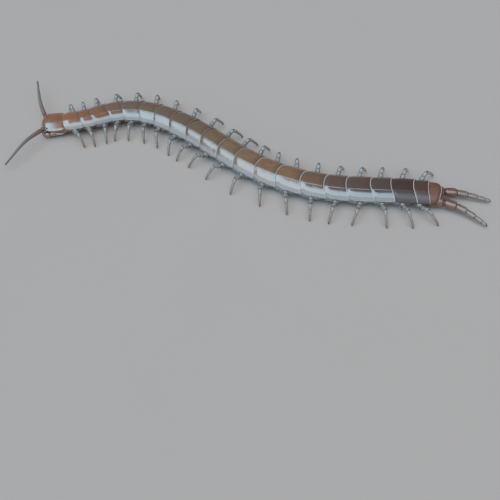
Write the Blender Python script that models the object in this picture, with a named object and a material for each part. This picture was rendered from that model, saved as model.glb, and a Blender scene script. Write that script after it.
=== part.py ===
"""A giant centipede at life size, walking over level ground with its body in a long S bend.

Metres, with +Z up. The head points to -X and the tail to +X, so the animal's left side
faces -Y. The floor is z = 0 and the origin is under the middle of the whole animal.
Every place is worked out along the backbone: a share of its length gives a point and a
heading there, and each plate, leg and feeler is set out from that.
"""

import math

import bmesh
import bpy
import numpy as np
from mathutils import Vector

MM = 0.001
UP = Vector((0, 0, 1))
SIDES = {"left": 1, "right": -1}
STEEP = 0.5
SMOOTH_ANGLE = 40

# Body: driving dimensions
BODY_WIDTH = 4.9 * MM
BODY_HEIGHT = 2.9 * MM
BELLY_CLEARANCE = 0.45 * MM
SPINE_Z = BELLY_CLEARANCE + BODY_HEIGHT / 2
GAP = 0.3 * MM
HEAD_LENGTH = 3.7 * MM
# The 21 back plates, neck to tail: length in mm, and width as a share of BODY_WIDTH
PLATES = (
    (2.5, 0.80), (1.7, 0.82), (2.8, 0.85), (2.5, 0.88), (3.1, 0.91), (2.8, 0.94), (3.2, 0.97),
    (3.5, 1.00), (3.2, 1.00), (3.6, 1.00), (3.4, 1.00), (3.7, 1.00), (3.5, 1.00), (3.8, 1.00),
    (3.6, 1.00), (3.3, 1.00), (3.7, 1.00), (3.1, 0.99), (3.4, 0.97), (2.2, 0.93), (2.0, 0.85),
)
PLATES_PER_LENGTH = 3
# The backbone's heading towards the tail, in degrees from +X, by share of its length
HEADINGS = (
    (0.0, 0), (0.04, 8), (0.09, 14), (0.138, 24), (0.188, 8), (0.237, -9), (0.29, -25),
    (0.377, -35), (0.44, -40), (0.53, -37), (0.64, -24), (0.755, -9), (0.84, -2),
    (0.93, -5), (1.0, -10),
)

# Half of the body's section, from the middle of the back down to the middle of the belly,
# as shares of half the width and half the height: dome, plate margin, flank, belly plate
BODY_SECTION = (
    (0.0, 1.0), (0.42, 0.94), (0.76, 0.68), (0.95, 0.32), (1.0, 0.10), (0.92, 0.0),
    (0.87, -0.42), (0.64, -0.80), (0.50, -1.0), (0.0, -1.0),
)
# Along one plate: share of its length, and size of the section there
PLATE_STEPS = ((0.0, 0.92), (0.08, 0.965), (0.42, 0.995), (0.92, 1.0))
CLOSING = 0.94
# Behind the last plate: distance in mm, and size of the section there
TAIL_STEPS = ((0.0, 0.95), (0.18, 0.85), (0.34, 0.68))

# Hips, the short first joints that the legs grow from
HIP_PLACE = 0.58
HIP_DROP = 0.35
HIP_REACH = 1.03
HIP_SUNK = 0.45
HIP_RADII = (0.54 * MM, 0.44 * MM)
HIP_SIDES = 8

# Legs: length of each joint as a share of the leg, and its radius in mm
LEG_JOINTS = ((0.25, 0.40), (0.22, 0.36), (0.20, 0.32), (0.18, 0.28), (0.15, 0.24))
# A limb is thinner where its joints meet
JOINT_NECK = 0.9
JOINT_BULGE = 0.72
LEG_REACH = 2.85 * MM
# Front legs are shorter: size by leg number
LEG_SCALES = ((1, 0.88), (5, 0.94), (11, 1.0), (17, 1.08), (20, 1.25))
LEG_SIDES = 6
LEG_HEIGHTS = ((0.0, 0.0), (0.27, 0.55), (0.52, 0.85), (0.76, -0.12), (0.93, -0.80))
LEG_BEND = 0.4
FOOT_RADIUS = 0.17 * MM
# The legs' wave: its length in segments, a segment where the left leg points furthest back,
# the swing each way and the mean, in degrees
LEG_WAVE = 6.6
LEG_WAVE_START = 13.6
LEG_SWING = 24
LEG_MEAN = 3
# The last walking legs trail by these degrees, with a share of the wave left
LEG_TRAIL = {18: 14, 19: 24, 20: 46}
LEG_TRAIL_SWING = 0.25

# Last legs, thicker, held out behind: joints in mm as length and radius
LAST_LEG_JOINTS = ((1.8, 0.70), (1.7, 0.55), (1.5, 0.44), (1.25, 0.34), (1.0, 0.27))
LAST_LEG_SPREAD = {"left": (6, 30), "right": (8, -3)}
LAST_LEG_BEND_END = 0.62
LAST_LEG_FALL = 1.5
LAST_LEG_TIP = 0.4
LAST_LEG_SIDES = 8
LAST_HIP_RADII = (0.88 * MM, 0.74 * MM)
LAST_HIP_ASIDE = 1.0 * MM
LAST_HIP_Z = 1.5 * MM
LAST_HIP_LENGTHS = (1.4 * MM, 0.5 * MM)
LAST_LEG_END_Z = 0.62 * MM
END_BALL_BACK = 0.12 * MM
END_BALL_RADIUS = 0.55 * MM

# Head
HEAD_WIDTH = 4.2 * MM
HEAD_HEIGHT = 1.5 * MM
HEAD_Z = 2.2 * MM
HEAD_SECTION = (
    (0.0, 1.0), (0.40, 0.93), (0.74, 0.68), (0.94, 0.32), (1.0, 0.0), (0.94, -0.32),
    (0.68, -0.62), (0.0, -0.68),
)
# From the rear edge forward: share of the length, of the width and of the height
HEAD_STEPS = (
    (0.0, 0.84, 0.86), (0.06, 0.93, 0.95), (0.25, 0.99, 1.0), (0.48, 1.0, 1.0),
    (0.68, 0.96, 0.95), (0.82, 0.84, 0.86), (0.92, 0.66, 0.72), (1.0, 0.38, 0.48),
)
EYE_RADIUS = 0.19 * MM
# Four simple eyes a side: share of the head's length from the rear, share of half the width
# there, and height over HEAD_Z in mm
EYES = ((0.74, 0.84, 0.22), (0.83, 0.84, 0.20), (0.72, 0.95, -0.06), (0.81, 0.95, -0.08))

# Feelers
FEELER_LENGTH = 8.2 * MM
FEELER_JOINTS = 17
# Radius in mm, by share of the length
FEELER_RADII = ((0, 0.38), (0.5, 0.26), (1, 0.15))
FEELER_TIP = 0.5
FEELER_SIDES = 7
FEELER_SPREAD = {"left": (50, 57), "right": (62, 76)}
FEELER_BEND_END = 0.67
# Height over the root in mm, by share of the length
FEELER_HEIGHTS = {"left": ((0, 0), (0.4, 0.2), (1, -0.8)), "right": ((0, 0), (0.4, 0.5), (1, 0.4))}
# A feeler's socket: its start behind the head's front edge and out from the middle line,
# its height below HEAD_Z, length, and radii
SOCKET_START = (0.66 * MM, 0.86 * MM, 0.05 * MM)
SOCKET_LENGTH = 0.85 * MM
SOCKET_RADII = (0.42 * MM, 0.39 * MM)

# Mouth parts below the front of the head: a lobe, and two palps that reach forward from it.
# The lobe's steps are a distance behind the head's front edge and half a width, in mm
MOUTH_STEPS = ((1.05, 0.40), (0.85, 0.52), (0.6, 0.50), (0.4, 0.36))
MOUTH_Z = 1.66 * MM
MOUTH_HALF_HEIGHT = 0.26 * MM
MOUTH_SECTION = ((0.0, 1.0), (0.9, 0.7), (1.0, -0.2), (0.6, -0.9), (0.0, -1.0))
PALP_ROOT = (0.62 * MM, 0.27 * MM, 1.56 * MM)
PALP_LENGTH = 0.68 * MM
PALP_RADII = (0.18 * MM, 0.10 * MM)
PALP_SPREAD = 10

# Fangs and the plate that carries them, below the head
FANG_PLATE_Z = 0.97 * MM
FANG_PLATE_THICKNESS = 0.80 * MM
# From the rear edge forward: share of the plate's length, and its width in mm
FANG_PLATE_STEPS = ((0.0, 2.9), (0.2, 3.35), (0.5, 3.45), (0.8, 3.15), (1.0, 2.2))
FANG_PLATE_LENGTH = 2.05 * MM
FANG_PLATE_SECTION = (
    (0.0, 1.0), (0.78, 0.9), (1.0, 0.25), (0.94, -0.45), (0.60, -1.0), (0.0, -1.0),
)
# The stub that carries a fang starts this far from the middle line and behind the front
FANG_STUB = (1.05 * MM, 2.1 * MM)
FANG_STUB_RADIUS = 0.50 * MM
# The plate's two teeth: distance from the middle line, and radius at the root and the tip
FANG_TEETH = (0.40 * MM, 0.30 * MM, 0.20 * MM)
# A fang from its root to its tip: distance behind the head's front edge and out from the
# middle line, and radius, in mm
FANG = ((1.05, 1.34, 0.54), (0.68, 1.42, 0.52), (0.34, 1.36, 0.44), (0.06, 1.12, 0.33),
        (-0.08, 0.80, 0.22), (-0.10, 0.50, 0.13), (-0.04, 0.30, 0.07))
FANG_Z = 0.92 * MM
FANG_SIDES = 8

# Finishes: colour and roughness
TRUNK_FINISH = ((0.30, 0.16, 0.10), 0.30)
HEAD_FINISH = ((0.42, 0.13, 0.05), 0.30)
LEG_FINISH = ((0.62, 0.56, 0.48), 0.40)
LAST_LEG_FINISH = ((0.42, 0.18, 0.10), 0.35)
FEELER_FINISH = ((0.48, 0.28, 0.18), 0.45)
FANG_FINISH = ((0.36, 0.12, 0.05), 0.30)


def clear_scene():
    for item in list(bpy.data.objects):
        bpy.data.objects.remove(item, do_unlink=True)


def smooth_value(knots, x):
    """A smooth curve through knots (place, value), read at x."""
    places = [knot[0] for knot in knots]
    values = [knot[1] for knot in knots]
    slopes = np.gradient(values, places)
    i = int(np.clip(np.searchsorted(places, x) - 1, 0, len(places) - 2))
    width = places[i + 1] - places[i]
    t = (x - places[i]) / width
    start = values[i] * (1 + 2 * t) * (1 - t) ** 2 + slopes[i] * width * t * (1 - t) ** 2
    return start + values[i + 1] * t * t * (3 - 2 * t) - slopes[i + 1] * width * t * t * (1 - t)


PLATE_EDGES = np.concatenate([[HEAD_LENGTH], HEAD_LENGTH + np.cumsum([p[0] for p in PLATES]) * MM])
BODY_LENGTH = float(PLATE_EDGES[-1])


def trace_backbone(steps=800):
    """Points along the backbone in plan, from the head's front edge to the tail."""
    shares = np.linspace(0, 1, steps + 1)
    angles = np.radians([smooth_value(HEADINGS, share) for share in shares])
    middles = (angles[1:] + angles[:-1]) / 2
    x = np.concatenate([[0], np.cumsum(np.cos(middles))]) * BODY_LENGTH / steps
    y = np.concatenate([[0], np.cumsum(np.sin(middles))]) * BODY_LENGTH / steps
    return shares * BODY_LENGTH, x, y, angles


BACKBONE = trace_backbone()


def spine(along):
    """(point on the floor, direction to the tail, direction to the left) at a distance from
    the head's front edge. Past either end the line goes on straight."""
    lengths, x, y, angles = BACKBONE
    inside = min(max(along, 0.0), BODY_LENGTH)
    angle = float(np.interp(inside, lengths, angles))
    back = Vector((math.cos(angle), math.sin(angle), 0))
    left = Vector((math.sin(angle), -math.cos(angle), 0))
    point = Vector((float(np.interp(inside, lengths, x)), float(np.interp(inside, lengths, y)), 0))
    return point + back * (along - inside), back, left


def turned(direction, degrees):
    """A level direction turned to the left seen from above."""
    angle = math.radians(degrees)
    cos, sin = math.cos(angle), math.sin(angle)
    return Vector((direction.x * cos - direction.y * sin, direction.x * sin + direction.y * cos, 0))


def section_ring(along, half_section, half_width, half_height, z):
    """A closed ring across the backbone, from half a section."""
    point, _, left = spine(along)
    right_half = [(-u, v) for u, v in half_section[-2:0:-1]]
    return [point + left * (u * half_width) + UP * (z + v * half_height)
            for u, v in list(half_section) + right_half]


def round_ring(point, direction, side, radius, sides):
    """A ring of points round a path, across its direction. side is level."""
    over = direction.cross(side).normalized()
    angles = [2 * math.pi * (k + 0.5) / sides for k in range(sides)]
    return [point + side * (radius * math.cos(a)) + over * (radius * math.sin(a)) for a in angles]


def loft(rings):
    """A closed surface through rings of equal counts, with a cap at each end."""
    bm = bmesh.new()
    rows = [[bm.verts.new(point) for point in ring] for ring in rings]
    for near, far in zip(rows, rows[1:]):
        for i, vert in enumerate(near):
            j = (i + 1) % len(near)
            bm.faces.new((vert, near[j], far[j], far[i]))
    bm.faces.new(reversed(rows[0]))
    bm.faces.new(rows[-1])
    bmesh.ops.recalc_face_normals(bm, faces=bm.faces)
    return bm


def tube(points, radii, sides, first=None, last=None):
    """A round limb along points. first and last turn its end faces, where they are given."""
    rings = []
    for i, point in enumerate(points):
        direction = (points[min(i + 1, len(points) - 1)] - points[max(i - 1, 0)]).normalized()
        if i == 0 and first is not None:
            direction = first
        if i == len(points) - 1 and last is not None:
            direction = last
        # A steep stretch is turned as the whole limb is, because its own heading is unsteady
        heading = Vector((direction.x, direction.y, 0))
        if heading.length < STEEP:
            heading = Vector((points[-1].x - points[0].x, points[-1].y - points[0].y, 0))
        rings.append(round_ring(point, direction, UP.cross(heading.normalized()), radii[i], sides))
    return loft(rings)


def peg(start, direction, length, radii, sides):
    """A round stub with flat ends."""
    side = UP.cross(Vector((direction.x, direction.y, 0)).normalized())
    ends = [(start, radii[0]), (start + direction * length, radii[1])]
    return loft([round_ring(point, direction, side, radius, sides) for point, radius in ends])


def ball(centre, radius, segments=8, rings=5):
    bm = bmesh.new()
    bmesh.ops.create_uvsphere(bm, u_segments=segments, v_segments=rings, radius=radius)
    bmesh.ops.translate(bm, verts=bm.verts, vec=centre)
    return bm


def add_object(name, bm, collection):
    mesh = bpy.data.meshes.new(name)
    bm.to_mesh(mesh)
    bm.free()
    piece = bpy.data.objects.new(name, mesh)
    collection.objects.link(piece)
    return piece


def keep_largest_surface(mesh):
    """Drops every closed surface of a mesh but the one round the most space."""
    bm = bmesh.new()
    bm.from_mesh(mesh)
    waiting = set(bm.faces)
    groups = []
    while waiting:
        group = {waiting.pop()}
        edge_of_group = list(group)
        while edge_of_group:
            face = edge_of_group.pop()
            for edge in face.edges:
                for other in edge.link_faces:
                    if other in waiting:
                        waiting.remove(other)
                        group.add(other)
                        edge_of_group.append(other)
        groups.append(group)

    def space(group):
        corners = [[v.co for v in face.verts] for face in group]
        return abs(sum(c[0].dot(c[i].cross(c[i + 1])) for c in corners for i in range(1, len(c) - 1)))

    largest = max(groups, key=space)
    bmesh.ops.delete(bm, geom=[f for f in bm.faces if f not in largest], context="FACES")
    bm.to_mesh(mesh)
    bm.free()


def fuse(core, growths):
    """Joins closed shapes to the object that they grow from, as one closed surface."""
    group = bpy.data.collections.new("growths")
    bpy.context.scene.collection.children.link(group)
    for i, growth in enumerate(growths):
        add_object("growth_%d" % i, growth, group)
    union = core.modifiers.new("union", "BOOLEAN")
    union.operation = "UNION"
    union.solver = "EXACT"
    union.operand_type = "COLLECTION"
    union.collection = group
    evaluated = core.evaluated_get(bpy.context.evaluated_depsgraph_get())
    joined = bpy.data.meshes.new_from_object(evaluated)
    core.modifiers.remove(union)
    core.data = joined
    for growth in list(group.objects):
        bpy.data.objects.remove(growth, do_unlink=True)
    bpy.data.collections.remove(group)
    keep_largest_surface(joined)


def finish(piece, look, root, stand):
    """Gives a piece its own colour, and its origin at its root."""
    colour, roughness = look
    material = bpy.data.materials.new(piece.name + "_finish")
    material.use_nodes = True
    shader = material.node_tree.nodes["Principled BSDF"]
    shader.inputs["Base Color"].default_value = (*colour, 1)
    shader.inputs["Roughness"].default_value = roughness
    shader.inputs["Metallic"].default_value = 0
    piece.data.materials.clear()
    piece.data.materials.append(material)
    for vert in piece.data.vertices:
        vert.co -= root
    piece.location = root
    piece.parent = stand
    for face in piece.data.polygons:
        face.use_smooth = True
    piece.data.set_sharp_from_angle(angle=math.radians(SMOOTH_ANGLE))


def plate_size(number):
    """(start, length, half the width, half the height) of back plate 1 to 21."""
    start = float(PLATE_EDGES[number - 1])
    length, share = PLATES[number - 1]
    return start, length * MM, BODY_WIDTH * share / 2, BODY_HEIGHT * share / 2


def leg_turn(number, side):
    """How far a leg points back, in degrees from straight out. Legs move in a wave, and the
    two sides in turn. The last walking legs trail."""
    phase = 2 * math.pi * (number - LEG_WAVE_START) / LEG_WAVE
    swing = LEG_SWING * math.cos(phase) * SIDES[side] + LEG_MEAN
    if number in LEG_TRAIL:
        swing = LEG_TRAIL[number] + swing * LEG_TRAIL_SWING
    return swing


def hip_end(number, side):
    """(middle of a hip's end face, direction out of it)."""
    start, length, half_width, half_height = plate_size(number)
    point, _, left = spine(start + HIP_PLACE * length)
    out = left * SIDES[side]
    direction = turned(out, SIDES[side] * leg_turn(number, side) / 2)
    z = SPINE_Z - HIP_DROP * half_height
    return point + out * (HIP_REACH * half_width) + UP * z, direction


def hip(number, side):
    end, direction = hip_end(number, side)
    sunk = HIP_SUNK * plate_size(number)[2]
    return peg(end - direction * sunk, direction, sunk, HIP_RADII, HIP_SIDES)


def leg_path(number, side):
    """A function of the share of a leg's reach, giving the point there, down to the floor."""
    end, direction = hip_end(number, side)
    root = end + direction * GAP
    reach = LEG_REACH * smooth_value(LEG_SCALES, number)
    bend = root + direction * (reach * LEG_BEND)
    foot = root + turned(direction, SIDES[side] * leg_turn(number, side) / 2) * reach
    heights = [(t, root.z + rise * MM) for t, rise in LEG_HEIGHTS] + [(1.0, 0.0)]

    def at(t):
        plan = root * (1 - t) ** 2 + bend * (2 * t * (1 - t)) + foot * (t * t)
        return Vector((plan.x, plan.y, smooth_value(heights, t)))

    return at, direction


def leg(number, side):
    at, direction = leg_path(number, side)
    points = [at(0)]
    radii = [LEG_JOINTS[0][1] * MM]
    start = 0.0
    for length, radius in LEG_JOINTS:
        if start > 0:
            points.append(at(start))
            radii.append(radius * MM * JOINT_NECK)
        points.append(at(start + length * JOINT_BULGE))
        radii.append(radius * MM)
        start += length
    points.append(at(1))
    radii.append(FOOT_RADIUS)
    return tube(points, radii, LEG_SIDES, first=direction, last=-UP)


def last_hip(side):
    """(middle of the end face, direction) of the swelling that carries a last leg."""
    point, back, left = spine(BODY_LENGTH)
    out = left * SIDES[side]
    direction = turned(back, -SIDES[side] * LAST_LEG_SPREAD[side][0])
    root = point + out * LAST_HIP_ASIDE + UP * LAST_HIP_Z
    return root + direction * LAST_HIP_LENGTHS[1], direction


def last_leg(side):
    end, direction = last_hip(side)
    whole = sum(length for length, _ in LAST_LEG_JOINTS) * MM
    first, last = LAST_LEG_SPREAD[side]
    stations = [(0.0, LAST_LEG_JOINTS[0][1] * JOINT_NECK)]
    start = 0.0
    for length, radius in LAST_LEG_JOINTS:
        if start > 0:
            stations.append((start, radius * JOINT_NECK))
        stations.append((start + length * (1 - JOINT_BULGE), radius))
        stations.append((start + length * JOINT_BULGE, radius))
        start += length
    stations.append((start, LAST_LEG_JOINTS[-1][1] * LAST_LEG_TIP))
    point = end + direction * GAP
    _, back, _ = spine(BODY_LENGTH)
    points, radii, reached = [], [], 0.0
    for place, radius in stations:
        share = (place + reached) / 2 * MM / whole
        spread = first + (last - first) * min(share / LAST_LEG_BEND_END, 1.0)
        heading = turned(back, -SIDES[side] * spread)
        point = point + heading * ((place - reached) * MM)
        reached = place
        fall = (place * MM / whole) ** LAST_LEG_FALL
        points.append(Vector((point.x, point.y, LAST_HIP_Z + (LAST_LEG_END_Z - LAST_HIP_Z) * fall)))
        radii.append(radius * MM)
    return tube(points, radii, LAST_LEG_SIDES, first=direction)


def trunk_length(number):
    """One length of the body, of three plates, each overlapping the next."""
    first = (number - 1) * PLATES_PER_LENGTH + 1
    plates = range(first, first + PLATES_PER_LENGTH)
    rings = []
    for plate in plates:
        start, length, half_width, half_height = plate_size(plate)
        for share, size in PLATE_STEPS:
            along = start + share * length
            if plate == first and share == 0:
                along += GAP / 2
            rings.append(section_ring(along, BODY_SECTION, half_width * size, half_height * size, SPINE_Z))
    if plate < len(PLATES):
        rings.append(section_ring(start + length - GAP / 2, BODY_SECTION,
                                  half_width * CLOSING, half_height * CLOSING, SPINE_Z))
    else:
        rings += [section_ring(BODY_LENGTH + behind * MM, BODY_SECTION, half_width * size,
                               half_height * size, SPINE_Z) for behind, size in TAIL_STEPS]
    growths = [hip(plate, side) for plate in plates for side in SIDES if plate < len(PLATES)]
    return loft(rings), growths


def tail_growths():
    """The two swellings that carry the last legs, and the rounded end between them."""
    growths = []
    for side in SIDES:
        end, direction = last_hip(side)
        length = sum(LAST_HIP_LENGTHS)
        growths.append(peg(end - direction * length, direction, length, LAST_HIP_RADII, 10))
    point, back, _ = spine(BODY_LENGTH)
    growths.append(ball(point + back * END_BALL_BACK + UP * LAST_HIP_Z, END_BALL_RADIUS, 10, 6))
    return growths


def head_ring(share, width, height):
    along = HEAD_LENGTH - GAP / 2 - share * (HEAD_LENGTH - GAP / 2)
    return section_ring(along, HEAD_SECTION, HEAD_WIDTH / 2 * width, HEAD_HEIGHT / 2 * height, HEAD_Z)


def feeler_root(side):
    """(middle of the end face, direction) of the socket that carries a feeler."""
    behind, aside, below = SOCKET_START
    point, back, left = spine(behind)
    direction = turned(-back, SIDES[side] * FEELER_SPREAD[side][0])
    start = point + left * (SIDES[side] * aside) + UP * (HEAD_Z - below)
    return start + direction * SOCKET_LENGTH, direction


def mouth_growths():
    growths = [loft([section_ring(behind * MM, MOUTH_SECTION, half_width * MM, MOUTH_HALF_HEIGHT, MOUTH_Z)
                     for behind, half_width in MOUTH_STEPS])]
    behind, aside, z = PALP_ROOT
    point, back, left = spine(behind)
    for side in SIDES:
        root = point + left * (SIDES[side] * aside) + UP * z
        direction = turned(-back, SIDES[side] * PALP_SPREAD)
        growths.append(peg(root, direction, PALP_LENGTH, PALP_RADII, 6))
    return growths


def head_growths():
    growths = mouth_growths()
    for side in SIDES:
        end, direction = feeler_root(side)
        growths.append(peg(end - direction * SOCKET_LENGTH, direction, SOCKET_LENGTH, SOCKET_RADII, 10))
        for share, aside, rise in EYES:
            width = smooth_value([(step[0], step[1]) for step in HEAD_STEPS], share)
            point, _, left = spine(HEAD_LENGTH * (1 - share))
            out = left * (SIDES[side] * HEAD_WIDTH / 2 * width * aside)
            growths.append(ball(point + out + UP * (HEAD_Z + rise * MM), EYE_RADIUS))
    return growths


def feeler(side):
    end, direction = feeler_root(side)
    first, last = FEELER_SPREAD[side]
    _, back, _ = spine(0)
    point = end + direction * GAP
    start_z = point.z
    stations = []
    for joint in range(FEELER_JOINTS):
        stations.append((joint / FEELER_JOINTS, JOINT_NECK))
        stations.append(((joint + 0.6) / FEELER_JOINTS, 1.0))
    stations.append((1.0, FEELER_TIP))
    points, radii, reached = [], [], 0.0
    for share, size in stations:
        middle = (share + reached) / 2
        spread = first + (last - first) * math.sin(math.pi / 2 * min(middle / FEELER_BEND_END, 1.0))
        heading = turned(-back, SIDES[side] * spread)
        point = point + heading * ((share - reached) * FEELER_LENGTH)
        reached = share
        lift = smooth_value(FEELER_HEIGHTS[side], share) * MM
        points.append(Vector((point.x, point.y, start_z + lift)))
        radii.append(smooth_value(FEELER_RADII, share) * size * MM)
    return tube(points, radii, FEELER_SIDES, first=direction)


def fang_stub(side):
    """(middle of the end face, direction, length) of the stub that carries a fang."""
    aside, behind = FANG_STUB
    point, _, left = spine(behind)
    root = point + left * (SIDES[side] * aside) + UP * FANG_Z
    fang_root = fang_points(side)[0]
    direction = (fang_root - root).normalized()
    return fang_root - direction * GAP, direction, (fang_root - root).length - GAP


def fang_points(side):
    points = []
    for behind, aside, _ in FANG:
        point, _, left = spine(behind * MM)
        points.append(point + left * (SIDES[side] * aside * MM) + UP * FANG_Z)
    return points


def fang(side):
    radii = [radius * MM for _, _, radius in FANG]
    return tube(fang_points(side), radii, FANG_SIDES, first=fang_stub(side)[1])


def fang_plate():
    """The plate below the head, and the stubs and teeth that grow from it."""
    rear = HEAD_LENGTH - GAP / 2
    half_height = FANG_PLATE_THICKNESS / 2
    rings = [section_ring(rear - share * FANG_PLATE_LENGTH, FANG_PLATE_SECTION, width * MM / 2,
                          half_height, FANG_PLATE_Z) for share, width in FANG_PLATE_STEPS]
    tooth_aside, tooth_root, tooth_tip = FANG_TEETH
    growths = []
    for side in SIDES:
        end, direction, length = fang_stub(side)
        radii = (FANG_STUB_RADIUS, FANG_STUB_RADIUS)
        growths.append(peg(end - direction * length, direction, length, radii, FANG_SIDES))
        point, back, left = spine(rear - FANG_PLATE_LENGTH)
        root = point + left * (SIDES[side] * tooth_aside) + UP * FANG_PLATE_Z + back * tooth_root
        growths.append(peg(root, -back, tooth_root * 2, (tooth_root, tooth_tip), 6))
    return loft(rings), growths


def build_animal():
    clear_scene()
    animal = bpy.data.collections.new("giant_centipede")
    bpy.context.scene.collection.children.link(animal)
    stand = bpy.data.objects.new("standing_point", None)
    animal.objects.link(stand)
    pieces = []

    def place(name, shape, growths, look, root):
        piece = add_object(name, shape, animal)
        if growths:
            fuse(piece, growths)
        finish(piece, look, root, stand)
        pieces.append(piece)

    neck = spine(HEAD_LENGTH)[0]
    head = loft([head_ring(*step) for step in HEAD_STEPS])
    place("head", head, head_growths(), HEAD_FINISH, neck + UP * HEAD_Z)
    shape, growths = fang_plate()
    place("forcipule_base", shape, growths, FANG_FINISH, neck + UP * FANG_PLATE_Z)
    for side in SIDES:
        place("antenna_" + side, feeler(side), [], FEELER_FINISH, feeler_root(side)[0])
        place("forcipule_" + side, fang(side), [], FANG_FINISH, fang_stub(side)[0])
    for number in range(1, len(PLATES) // PLATES_PER_LENGTH + 1):
        shape, growths = trunk_length(number)
        if number == len(PLATES) // PLATES_PER_LENGTH:
            growths += tail_growths()
        middle = spine(plate_size((number - 1) * PLATES_PER_LENGTH + 2)[0])[0] + UP * SPINE_Z
        place("trunk_%d" % number, shape, growths, TRUNK_FINISH, middle)
    for number in range(1, len(PLATES)):
        for side in SIDES:
            root = hip_end(number, side)[0]
            place("leg_%s_%02d" % (side, number), leg(number, side), [], LEG_FINISH, root)
    for side in SIDES:
        root = last_hip(side)[0]
        place("leg_%s_%02d" % (side, len(PLATES)), last_leg(side), [], LAST_LEG_FINISH, root)
    return pieces


def centre_on_floor(pieces):
    """Moves the animal so that the origin is under the middle of its outline in plan."""
    corners = np.array([list(p.location + v.co) for p in pieces for v in p.data.vertices])
    middle = (corners.min(0) + corners.max(0)) / 2
    for piece in pieces:
        piece.location -= Vector((middle[0], middle[1], 0))


centre_on_floor(build_animal())
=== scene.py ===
"""A giant centipede at life size, walking in a long S bend: its looks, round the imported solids.

+Z is up, the head points to -X and the animal's left side faces -Y. Places are in metres, and
girths and sizes of small parts in mm. Every piece is set out from the backbone, as the solids
are: by a distance from the head's front edge, one out to the left, and a height over the floor.
"""

import math

import bmesh
import bpy
import numpy as np
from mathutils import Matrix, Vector


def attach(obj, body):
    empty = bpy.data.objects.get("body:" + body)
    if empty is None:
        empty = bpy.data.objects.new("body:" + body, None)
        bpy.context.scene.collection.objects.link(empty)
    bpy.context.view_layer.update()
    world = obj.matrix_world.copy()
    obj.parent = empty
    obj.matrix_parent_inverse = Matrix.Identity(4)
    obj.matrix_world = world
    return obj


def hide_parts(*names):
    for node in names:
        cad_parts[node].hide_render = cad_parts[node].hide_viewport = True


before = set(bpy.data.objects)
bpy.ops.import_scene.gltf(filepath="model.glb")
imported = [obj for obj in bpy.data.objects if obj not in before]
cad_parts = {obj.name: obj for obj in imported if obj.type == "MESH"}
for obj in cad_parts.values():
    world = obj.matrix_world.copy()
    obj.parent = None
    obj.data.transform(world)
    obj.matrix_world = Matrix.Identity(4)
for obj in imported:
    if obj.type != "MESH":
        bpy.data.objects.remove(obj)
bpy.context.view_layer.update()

MM = 0.001
UP = np.array([0.0, 0.0, 1.0])
SIDES = {"left": 1, "right": -1}
SEED = 21
rng = np.random.default_rng(SEED)

# Body, as in the solids
HALF_WIDTH, HALF_HEIGHT, BELLY_CLEARANCE = 2.45 * MM, 1.45 * MM, 0.45 * MM
SPINE_Z = BELLY_CLEARANCE + HALF_HEIGHT
HEAD_LENGTH, GAP = 3.7 * MM, 0.3 * MM
HEAD_REAR = HEAD_LENGTH - GAP / 2
# The 21 back plates, neck to tail: length in mm, and size as a share of the widest
PLATES = (
    (2.5, 0.8), (1.7, 0.82), (2.8, 0.85), (2.5, 0.88), (3.1, 0.91), (2.8, 0.94), (3.2, 0.97),
    (3.5, 1), (3.2, 1), (3.6, 1), (3.4, 1), (3.7, 1), (3.5, 1), (3.8, 1),
    (3.6, 1), (3.3, 1), (3.7, 1), (3.1, 0.99), (3.4, 0.97), (2.2, 0.93), (2, 0.85),
)
WALKING, LAST = range(1, len(PLATES)), len(PLATES)
# The backbone's heading towards the tail, in degrees from +X, by share of its length
HEADINGS = (
    (0, 0), (0.04, 8), (0.09, 14), (0.138, 24), (0.188, 8), (0.237, -9), (0.29, -25),
    (0.377, -35), (0.44, -40), (0.53, -37), (0.64, -24), (0.755, -9), (0.84, -2),
    (0.93, -5), (1, -10),
)
# Half a back plate's section, middle to margin: a little flatter on top than the solids
DOME = ((0, 1), (0.39, 0.955), (0.51, 0.89), (0.78, 0.655), (0.95, 0.32), (1, 0.1))

# Limbs, as in the solids, apart from the radii of the walking legs' joints, which are slimmer.
# The hips: share of a segment, and shares of its half height below and half width out
HIP_PLACE, HIP_DROP, HIP_REACH = 0.58, 0.35, 1.03
# A leg's joints: share of its length, and radius in mm
LEG_JOINTS = ((0.25, 0.385), (0.22, 0.335), (0.2, 0.285), (0.18, 0.24), (0.15, 0.19))
LEG_REACH, LEG_BEND = 2.85 * MM, 0.4
# Reach by segment, and height over the hip's end in mm by share of the leg
LEG_SCALES = ((1, 0.88), (5, 0.94), (11, 1), (17, 1.08), (20, 1.25))
LEG_HEIGHTS = ((0, 0), (0.27, 0.55), (0.52, 0.85), (0.76, -0.12), (0.93, -0.8))
# The wave in which the legs step: its length and start in segments, and the swing and the mean
# turn to the tail in degrees. The three pairs before the last trail, and swing less
LEG_WAVE, LEG_WAVE_START, LEG_SWING, LEG_MEAN = 6.6, 13.6, 24, 3
LEG_TRAIL, LEG_TRAIL_SWING = {18: 14, 19: 24, 20: 46}, 0.25
# The last legs: joints of (length, radius) in mm, and by side their turns out from the body's
# line in degrees, at the hip and further on
LAST_LEG_JOINTS = ((1.8, 0.7), (1.7, 0.55), (1.5, 0.44), (1.25, 0.34), (1, 0.27))
LAST_LEG_SPREAD = {1: (6, 30), -1: (8, -3)}
LAST_LEG_BEND_END, LAST_LEG_FALL, LAST_LEG_END_Z = 0.62, 1.5, 0.62 * MM
LAST_HIP_ASIDE, LAST_HIP_Z, LAST_HIP_OUT = 1 * MM, 1.5 * MM, 0.5 * MM

# Head, as in the solids, apart from its dome, which falls more evenly to the sides
HEAD_HALF_WIDTH, HEAD_HALF_HEIGHT, HEAD_Z = 2.1 * MM, 0.75 * MM, 2.2 * MM
HEAD_DOME = ((0, 1), (0.34, 0.885), (0.66, 0.59), (0.92, 0.27), (1, 0), (0.965, -0.22))
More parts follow.
